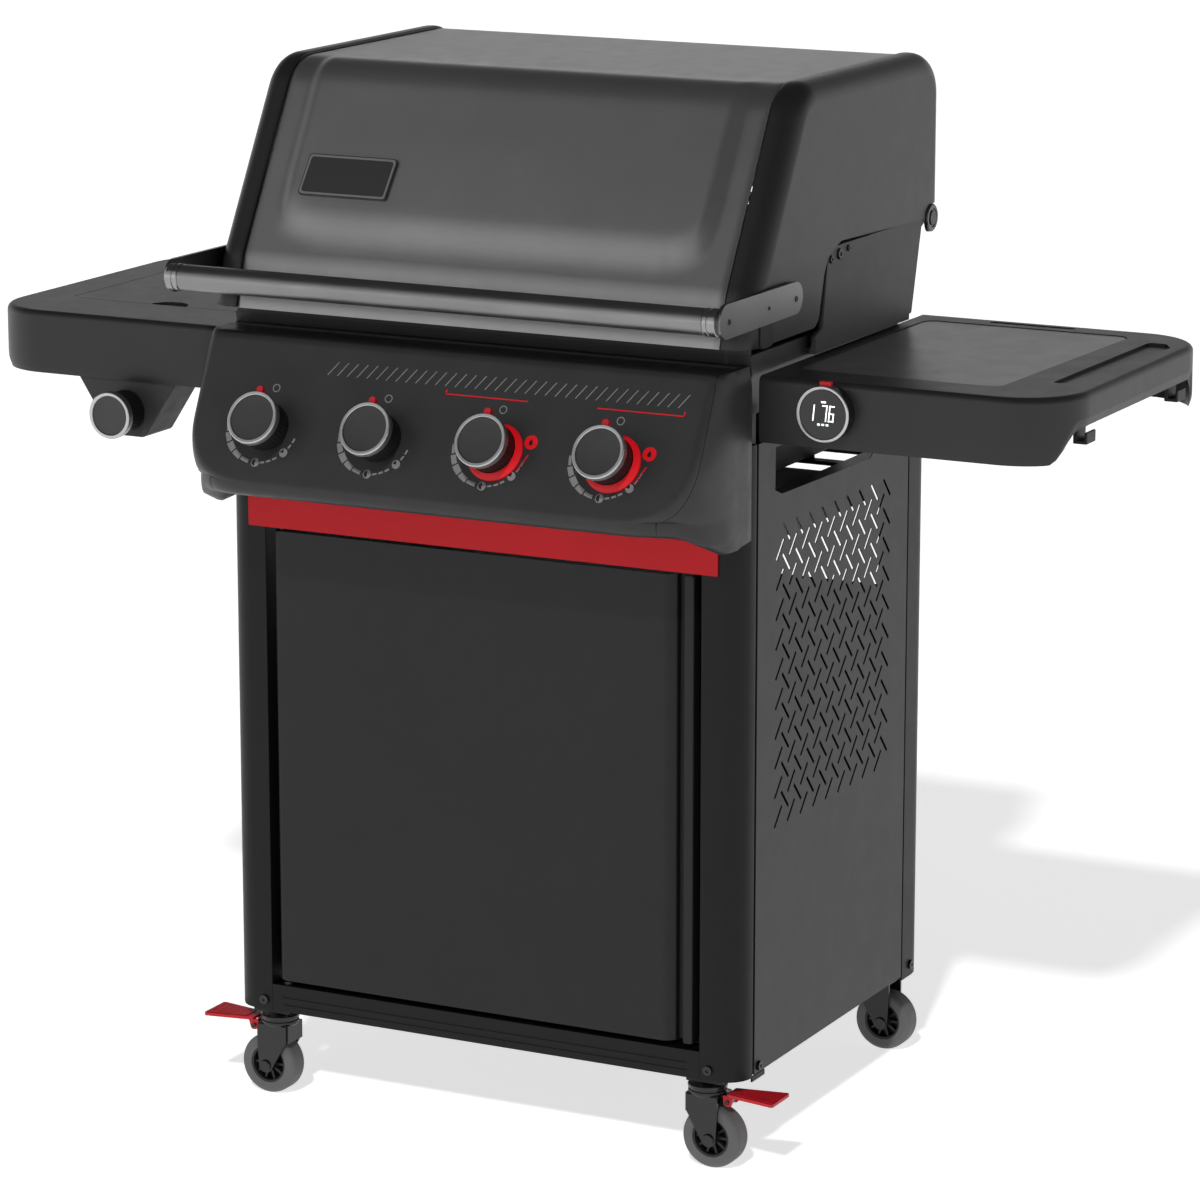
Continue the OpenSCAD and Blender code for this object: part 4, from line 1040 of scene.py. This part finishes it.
def build_hooks():
    hooks = softened("shelf_hooks", "cart", M["frame"], 0.9)
    for vert in hooks.data.vertices:
        vert.co.x -= math.copysign(HOOKS_IN / 1000, vert.co.x)


# ---- Display -------------------------------------------------------------------------------------

DISPLAY_LOW, DISPLAY_HIGH = low_of("display_housing"), high_of("display_housing")
DISPLAY = ((DISPLAY_LOW.x + DISPLAY_HIGH.x) / 2, (DISPLAY_LOW.z + DISPLAY_HIGH.z) / 2)
DISPLAY_FACE_Y = 17.0


def build_display():
    """Round temperature display on the right shelf's front, with a push button on top."""
    x, z = DISPLAY
    y0 = DISPLAY_FACE_Y
    digits_low, digits_high = y0 + 0.35, y0 + 0.75

    def turned(name, profile, material, stands_for=()):
        bm = bmesh.new()
        lathe(bm, profile, (x, 0, z), "y", 96, closed=False)
        bmesh.ops.remove_doubles(bm, verts=bm.verts, dist=0.005)
        add_piece(name, bm, "cart", material, stands_for)

    turned("display_body", [(0, 36), (27.2, 36), (28.3, 33), (28.4, y0 + 3), (27.8, y0 + 1.2),
                            (24, y0 + 1.2), (0, y0 + 1.2)], M["gloss_black"], ("display_housing",))
    turned("display_ring", [(25.2, y0 + 2.4), (28.45, y0 + 2.4), (28.45, y0 + 0.9), (27.9, y0 + 0.1),
                            (26.0, y0), (25.3, y0 + 0.6), (25.2, y0 + 2.4)], M["ring"])
    turned("display_glass", [(0, y0 + 2.0), (25.1, y0 + 2.0), (25.1, y0 + 1.1), (24.4, y0 + 0.7),
                             (0, y0 + 0.6)], M["glass_black"])
    # three leaning seven-segment numerals and small marks, in the plane of the glass
    w, h, t, lean = 5.8, 16.4, 1.3, 0.10
    segments = {"a": rect(-w / 2, h / 2 - t, w / 2, h / 2), "g": rect(-w / 2, -t / 2, w / 2, t / 2),
                "d": rect(-w / 2, -h / 2, w / 2, -h / 2 + t), "f": rect(-w / 2, 0, -w / 2 + t, h / 2),
                "b": rect(w / 2 - t, 0, w / 2, h / 2), "e": rect(-w / 2, -h / 2, -w / 2 + t, 0),
                "c": rect(w / 2 - t, -h / 2, w / 2, 0)}
    numerals = {"1": "bc", "7": "abc", "6": "acdefg"}
    bm = bmesh.new()
    for place, digit in ((-11.8, "1"), (2.0, "7"), (9.8, "6")):
        for key in numerals[digit]:
            shape = [(x + place + p[0] + lean * p[1], z + 1.2 + p[1]) for p in segments[key]]
            prism(bm, shape, digits_low, digits_high, "y")
    marks = [rect(x - 5.4 + 4.6 * k, z - 11.4, x - 2.6 + 4.6 * k, z - 9.4) for k in range(3)]
    for mark in marks + [rect(x - 1.4, z + 11.6, x + 3.8, z + 13.4)]:
        prism(bm, mark, digits_low, digits_high, "y")
    add_piece("display_numerals", bm, "cart", M["digits"])
    bm = bmesh.new()
    low, high = low_of("display_button"), high_of("display_button")
    prism(bm, rounded(rect(low.x + 2.5, low.y, high.x - 2.5, high.y), [2] * 4, 4), low.z, high.z)
    bevel_sharp(bm, 0.7, 3)
    add_piece("display_push_button", bm, "button", M["red_plastic"],
              ("display_button",))


# ---- Cabinet -------------------------------------------------------------------------------------

DOOR_LOW, DOOR_HIGH = 133, 628
PANEL_SHEET = 0.9
DOOR_T = 18


def build_door():
    """Door leaf with a folded pull edge on its right."""
    bm = bmesh.new()
    plan = rounded([(-247, 0), (216, 0), (226, 8), (226, 14.4), (236, 14.4), (236, 1.2), (247, 1.2),
                    (247, DOOR_T), (-247, DOOR_T)], [7, 9, 3, 0, 0, 2, 2, 2, 2], 6)
    prism(bm, plan, DOOR_LOW, DOOR_HIGH)
    edges = [e for e in bm.edges if abs(e.verts[0].co.z - e.verts[1].co.z) < 0.1]
    bmesh.ops.bevel(bm, geom=edges, offset=1.6, segments=3, profile=0.5, affect="EDGES",
                    clamp_overlap=True)
    add_piece("door_leaf", bm, "door", M["door"], ("door",))


def build_tray_front():
    bm = bmesh.new()
    shape = rounded([(-275, 632), (275, 632), (275, 665.5), (-275, 665.5)], [1.5, 1.5, 2, 2], 4)
    prism(bm, shape, -2.2, -0.4, "y")
    bevel_sharp(bm, 0.5, 2)
    prism(bm, rect(-235, 643, 235, 661), -0.5, 4, "y")
    add_piece("tray_red_front", bm, "tray", M["red"], ("tray_front",))


def build_side_panel(side, node):
    """The outer face of the CAD's panel with its vents, as thin sheet with folded edges."""
    low, high = low_of(node), high_of(node)
    outer = high.x if side > 0 else low.x
    bm = cad_copy(node)
    for vert in bm.verts:
        vert.co.y -= FRONT_Y
    spare = [f for f in bm.faces if any(abs(v.co.x - outer) > 0.05 for v in f.verts)]
    bmesh.ops.delete(bm, geom=spare, context="FACES")
    bmesh.ops.dissolve_limit(bm, angle_limit=math.radians(0.6), verts=bm.verts, edges=bm.edges)
    sheet = bmesh.ops.extrude_face_region(bm, geom=list(bm.faces))
    for item in sheet["geom"]:
        if isinstance(item, bmesh.types.BMVert):
            item.co.x -= side * PANEL_SHEET
    bmesh.ops.recalc_face_normals(bm, faces=bm.faces)
    inner, edge = outer - side * 14, outer - side * PANEL_SHEET
    x0, x1 = min(inner, edge), max(inner, edge)
    prism(bm, rect(x0, low.y, x1, low.y + PANEL_SHEET), low.z, high.z)
    prism(bm, rect(x0, high.y - PANEL_SHEET, x1, high.y), low.z, high.z)
    add_piece(node + "_piece", bm, "cart", M["panel_side"], (node,))


# CAD nodes whose own shape is right: material slot, material, edge width and its segments
POSTS = {"%s_%s_post" % (side, end): ("body_paint", "body", 0.6, 2)
         for end in ("front", "rear") for side in ("left", "right")}
CART = {
    "bottom_panel": ("body_paint", "body", 0.6, 2),
    "bottom_rail": ("body_paint", "body", 0.5, 2),
    "rear_panel": ("body_paint", "body", 0.5, 2),
    "top_frame": ("frame_paint", "frame", 1.0, 2),
    "door_jamb": ("frame_paint", "body", 0.6, 2),
    "tray_rails": ("galvanised", "zinc", 0.6, 2),
    "caster_sockets": ("frame_paint", "frame", 0.8, 2),
    "cart_screws": ("screw_steel", "screw", 0.5, 2),
    "grease_tray": ("galvanised", "zinc", 0.5, 2),
    "door_hinge_pins": ("screw_steel", "screw", 0.3, 2),
    "lid_hinge_pins": ("screw_steel", "screw", 0.5, 2),
    "cookbox": ("cookbox_paint", "cookbox", 1.2, 2),
    "burner_manifold": ("brass", "brass", 0.0, 2),
    "burner_tubes": ("stainless", "stainless", 0.4, 2),
    "heat_tents": ("stainless", "stainless", 0.5, 2),
    "left_grate": ("grate_iron", "iron", 2.0, 2),
    "right_grate": ("grate_iron", "iron", 2.0, 2),
    "warming_rack": ("stainless", "wire", 0.0, 2),
    "warming_rack_legs": ("stainless", "wire", 0.0, 2),
    "side_burner_bowl": ("cookbox_paint", "cookbox", 0.8, 2),
    "side_burner_head": ("brass", "brass", 0.8, 2),
    "side_burner_grate": ("grate_iron", "iron", 1.5, 2),
    "side_burner_housing": ("body_paint", "moulding", 1.0, 2),
    "side_burner_cover": ("shelf_paint", "shelf", 1.0, 3),
}
BODY_OF = {"grease_tray": "tray", "side_burner_cover": "side_cover"}     # the rest ride on the cart


def carry_over(table):
    for node, (slot, material, width, segments) in table.items():
        softened(node, BODY_OF.get(node, "cart"), M[material], width, segments)


# ---- Casters -------------------------------------------------------------------------------------

WHEEL_R, WHEEL_W, TRAIL = 33, 26, 9
SPOKES = 10
CASTERS = (("front_left", -1, 18), ("front_right", 1, 18),
           ("rear_left", -1, 458), ("rear_right", 1, 458))
SWIVEL_X = 257.5


def caster_place(side, y):
    """From a caster's own frame, its axle towards +X of the swivel, to the row frame."""
    def place(v):
        return to_row((side * SWIVEL_X + side * v.x, y + side * v.y, v.z))
    return place


def build_wheel(name, place):
    """Tyre, spoked hub and web of a wheel, drawn round its own axle and then put at its trail."""
    half = WHEEL_W / 2
    body = name + "_roller"
    shoulder = 6

    def shift(bm):
        for v in bm.verts:
            v.co += Vector((TRAIL, 0, WHEEL_R))

    bm = bmesh.new()
    tread = arc((WHEEL_R - shoulder, half - shoulder), shoulder, 90, 0, 8)
    profile = [(21, -half + 0.5)] + [(r, -h) for r, h in tread] + [(WHEEL_R, 0)]
    profile += [(r, h) for r, h in reversed(tread)]
    profile += [(21, half - 0.5), (20.6, half - 1.2), (20.6, -half + 1.2)]
    turned_ring(bm, profile, "y", 72)
    bmesh.ops.remove_doubles(bm, verts=bm.verts, dist=0.01)
    shift(bm)
    add_piece(name + "_tyre", bm, body, M["tyre"], (name + "_wheel",), place)
    bm = bmesh.new()
    turned_ring(bm, [(20.7, -half + 1.3), (20.7, half - 1.3), (18.6, half - 1.6), (17.9, half - 4),
                     (17.9, -half + 4), (18.6, -half + 1.6)], "y", 60)
    turned_ring(bm, [(4.1, -half - 0.8), (7.6, -half - 0.8), (8.2, -half + 1), (8.6, -4), (8.6, 4),
                     (8.2, half - 1), (7.6, half + 0.8), (4.1, half + 0.8)], "y", 40)
    for k in range(SPOKES):
        a = 2 * math.pi * k / SPOKES
        u, n = Vector((math.cos(a), math.sin(a))), Vector((-math.sin(a), math.cos(a)))
        quad = [u * 8 - n * 1.5, u * 18.2 - n * 1.1, u * 18.2 + n * 1.1, u * 8 + n * 1.5]
        prism(bm, [tuple(q) for q in quad], -half + 4.5, half - 4.5, "y")
    bmesh.ops.remove_doubles(bm, verts=bm.verts, dist=0.005)
    shift(bm)
    add_piece(name + "_hub", bm, body, M["hub"], place=place)
    bm = bmesh.new()
    turned_ring(bm, [(9, -1.4), (17.9, -1.4), (17.9, 1.4), (9, 1.4)], "y", 48)
    shift(bm)
    add_piece(name + "_web", bm, body, M["hub"], place=place)


def build_fork(name, place, locking):
    """Raceway, bridge and two legs of a caster, its axle, and the lug that carries a locking pedal."""
    body = name + "_caster"
    leg_in, leg_out = WHEEL_W / 2 + 2, WHEEL_W / 2 + 4.5
    bm = bmesh.new()
    lathe(bm, [(0, 90), (19.6, 90), (20.8, 89), (21, 87), (20.6, 85.4), (19, 84.6), (19, 83.4),
               (20.4, 82.8), (20.8, 81), (20.2, 79), (17.6, 76), (12, 74.6), (0, 74.6)])
    lathe(bm, [(0, 89), (4.95, 89), (4.95, 123), (0, 123)], steps=24)
    add_piece(name + "_raceway", bm, body, M["fork"], (name + "_fork",), place)

    bm = bmesh.new()
    # each leg narrows to the axle
    outline = [(-17, 79), (-17, 62)] + arc((TRAIL, WHEEL_R), 8.5, 200, 340, 10) + [(19, 62), (19, 79)]
    for s in (-1, 1):
        lo, hi = sorted((s * leg_in, s * leg_out))
        prism(bm, outline, lo, hi, "y")
    # the bridge joins them over the wheel and folds down in front
    bridge = [(-18.5, 80), (-18.5, 60), (-16.3, 60), (-16.3, 77.5), (19, 77.5), (19, 80)]
    prism(bm, bridge, -leg_in - 0.2, leg_in + 0.2, "y")
    bevel_sharp(bm, 0.7, 2, 40)
    add_piece(name + "_legs", bm, body, M["fork"], place=place)
    bm = bmesh.new()
    for s in (-1, 1):
        nut = ((0, -1), (6.2, -1), (6.2, 1.2), (5.2, 2.3), (0, 2.6))
        lathe(bm, [(r, s * (leg_out + h)) for r, h in nut], (TRAIL, 0, WHEEL_R), "y", 32)
    rod = [(0, -leg_in - 1), (3.9, -leg_in - 1), (3.9, leg_in + 1), (0, leg_in + 1)]
    lathe(bm, rod, (TRAIL, 0, WHEEL_R), "y", 24)
    add_piece(name + "_axle", bm, body, M["screw"], place=place)
    if locking:
        bm = bmesh.new()
        prism(bm, rounded(rect(15, 69, 30, 79), [2, 4, 4, 2], 4), -6, 6, "y")
        bevel_sharp(bm, 0.6)
        lathe(bm, [(0, -12), (2.5, -12), (2.5, 12), (0, 12)], (27, 0, 74), "y", 24)
        add_piece(name + "_pedal_lug", bm, body, M["fork"], place=place)


def build_pedal(name, place):
    """A ribbed locking pedal between two cheeks."""
    bm = bmesh.new()
    plan = rounded([(27, -12), (84, -22), (84, 22), (27, 12)], [2, 3, 3, 2], 4)
    prism(bm, plan, 80, 83.2)
    bevel_sharp(bm, 0.5)
    # ribs along the tread
    for k in range(-4, 5):
        y0, y1 = k * 2.4, k * 4.3
        prism(bm, [(36, y0 - 0.7), (82, y1 - 0.8), (82, y1 + 0.8), (36, y0 + 0.7)], 83, 84)
    for s in (-1, 1):
        cheek = rounded([(22, 80.5), (23, 69), (31, 69), (34, 80.5)], [0, 3.5, 3.5, 0], 5)
        lo, hi = sorted((s * 7.2, s * 10))
        prism(bm, cheek, lo, hi, "y")
    add_piece(name + "_pedal_tread", bm, name + "_lock", M["red_plastic"],
              (name + "_pedal",), place)


def build_casters():
    for name, side, y in CASTERS:
        place = caster_place(side, y)
        build_wheel(name, place)
        build_fork(name, place, name.startswith("front"))
        if name.startswith("front"):
            build_pedal(name, place)


# ---- Stage ---------------------------------------------------------------------------------------

CAMERA_AT = (2342.4, -4307.4, 1709.9)
CAMERA_PITCH, CAMERA_AZIMUTH = 12.995, 27.07
FOCAL_PX, IMAGE_PX, SENSOR = 4860.8, 1200, 36.0


def build_camera():
    data = bpy.data.cameras.new("camera")
    data.sensor_width = SENSOR
    data.lens = FOCAL_PX / IMAGE_PX * SENSOR
    data.clip_end = 200
    obj = bpy.data.objects.new("camera", data)
    obj.location = to_row(CAMERA_AT)
    obj.rotation_euler = (math.radians(90 - CAMERA_PITCH), 0, math.radians(CAMERA_AZIMUTH))
    bpy.context.scene.collection.objects.link(obj)
    bpy.context.scene.camera = obj


FLOOR_HALF, FLOOR_GLOW = 40.0, 0.66
# level of the surroundings by height: bright low down, dark overhead, so that edges that face up
# draw dark lines
SKY = ((0.0, 1.0), (0.16, 0.95), (0.30, 0.48), (0.45, 0.14), (0.70, 0.07))
SUN_ALONG, SUN_POWER, SUN_ANGLE = (-0.27, 1.0, -1.0), 1.75, 3
SOFTBOX_AT, SOFTBOX_AIM, SOFTBOX_SIZE, SOFTBOX_POWER = (-2.7, -4.6, 2.9), (0, 0, 0.8), (3.2, 4.2), 26


def add_light(name, kind, power, along):
    """A lamp that shines along a direction; returns its object and data."""
    data = bpy.data.lights.new(name, kind)
    data.energy = power
    obj = bpy.data.objects.new(name, data)
    obj.rotation_euler = Vector(along).to_track_quat("-Z", "Y").to_euler()
    bpy.context.scene.collection.objects.link(obj)
    return obj, data


def build_stage():
    bm = bmesh.new()
    bm.faces.new([bm.verts.new((x, y, 0)) for x, y in
                  rect(-FLOOR_HALF, -FLOOR_HALF, FLOOR_HALF, FLOOR_HALF)])
    mesh = finish_mesh("floor", bm, smooth=False, place=Vector)
    floor = bpy.data.objects.new("floor", mesh)
    bpy.context.scene.collection.objects.link(floor)
    shader = Shader("pale_floor", (0.8, 0.8, 0.8, 1), 0.9, specular=0.1)
    shader.bsdf.inputs["Emission Color"].default_value = (1, 1, 1, 1)
    shader.bsdf.inputs["Emission Strength"].default_value = FLOOR_GLOW
    mesh.materials.append(shader.material)

    world = bpy.data.worlds.new("studio")
    world.use_nodes = True
    nodes, links = world.node_tree.nodes, world.node_tree.links
    split = nodes.new("ShaderNodeSeparateXYZ")
    links.new(nodes.new("ShaderNodeTexCoord").outputs["Generated"], split.inputs["Vector"])
    ramp = nodes.new("ShaderNodeValToRGB")
    ramp.color_ramp.interpolation = "EASE"
    while len(ramp.color_ramp.elements) < len(SKY):
        ramp.color_ramp.elements.new(0.5)
    for element, (at, level) in zip(ramp.color_ramp.elements, SKY):
        element.position = at
        element.color = (level, level, level, 1)
    links.new(split.outputs["Z"], ramp.inputs["Fac"])
    links.new(ramp.outputs["Color"], nodes["Background"].inputs["Color"])
    nodes["Background"].inputs["Strength"].default_value = 1.0
    bpy.context.scene.world = world

    key, sun = add_light("key", "SUN", SUN_POWER, SUN_ALONG)
    sun.angle = math.radians(SUN_ANGLE)
    key.visible_glossy = False
    front, softbox = add_light("front_softbox", "AREA", SOFTBOX_POWER,
                               Vector(SOFTBOX_AIM) - Vector(SOFTBOX_AT))
    front.location = SOFTBOX_AT
    front.visible_diffuse = False
    softbox.shape = "RECTANGLE"
    softbox.size, softbox.size_y = SOFTBOX_SIZE


# ---- Everything ----------------------------------------------------------------------------------

build_lid_sheet()
build_lid_cap(1)
build_lid_cap(-1)
build_handle()
build_badge()
build_control_panel()
build_panel_print()
build_knobs()
build_right_shelf()
build_left_shelf()
build_hooks()
build_display()
build_door()
build_tray_front()
carry_over(POSTS)
build_side_panel(-1, "left_side_panel")
build_side_panel(1, "right_side_panel")
carry_over(CART)
build_casters()
build_stage()
build_camera()
bpy.context.scene.view_settings.view_transform = "Standard"

# large faces keep flat shading beside their rounded edges
for piece in PIECES:
    modifier = piece.modifiers.new("normals", "WEIGHTED_NORMAL")
    modifier.keep_sharp = True
    modifier.weight = 100
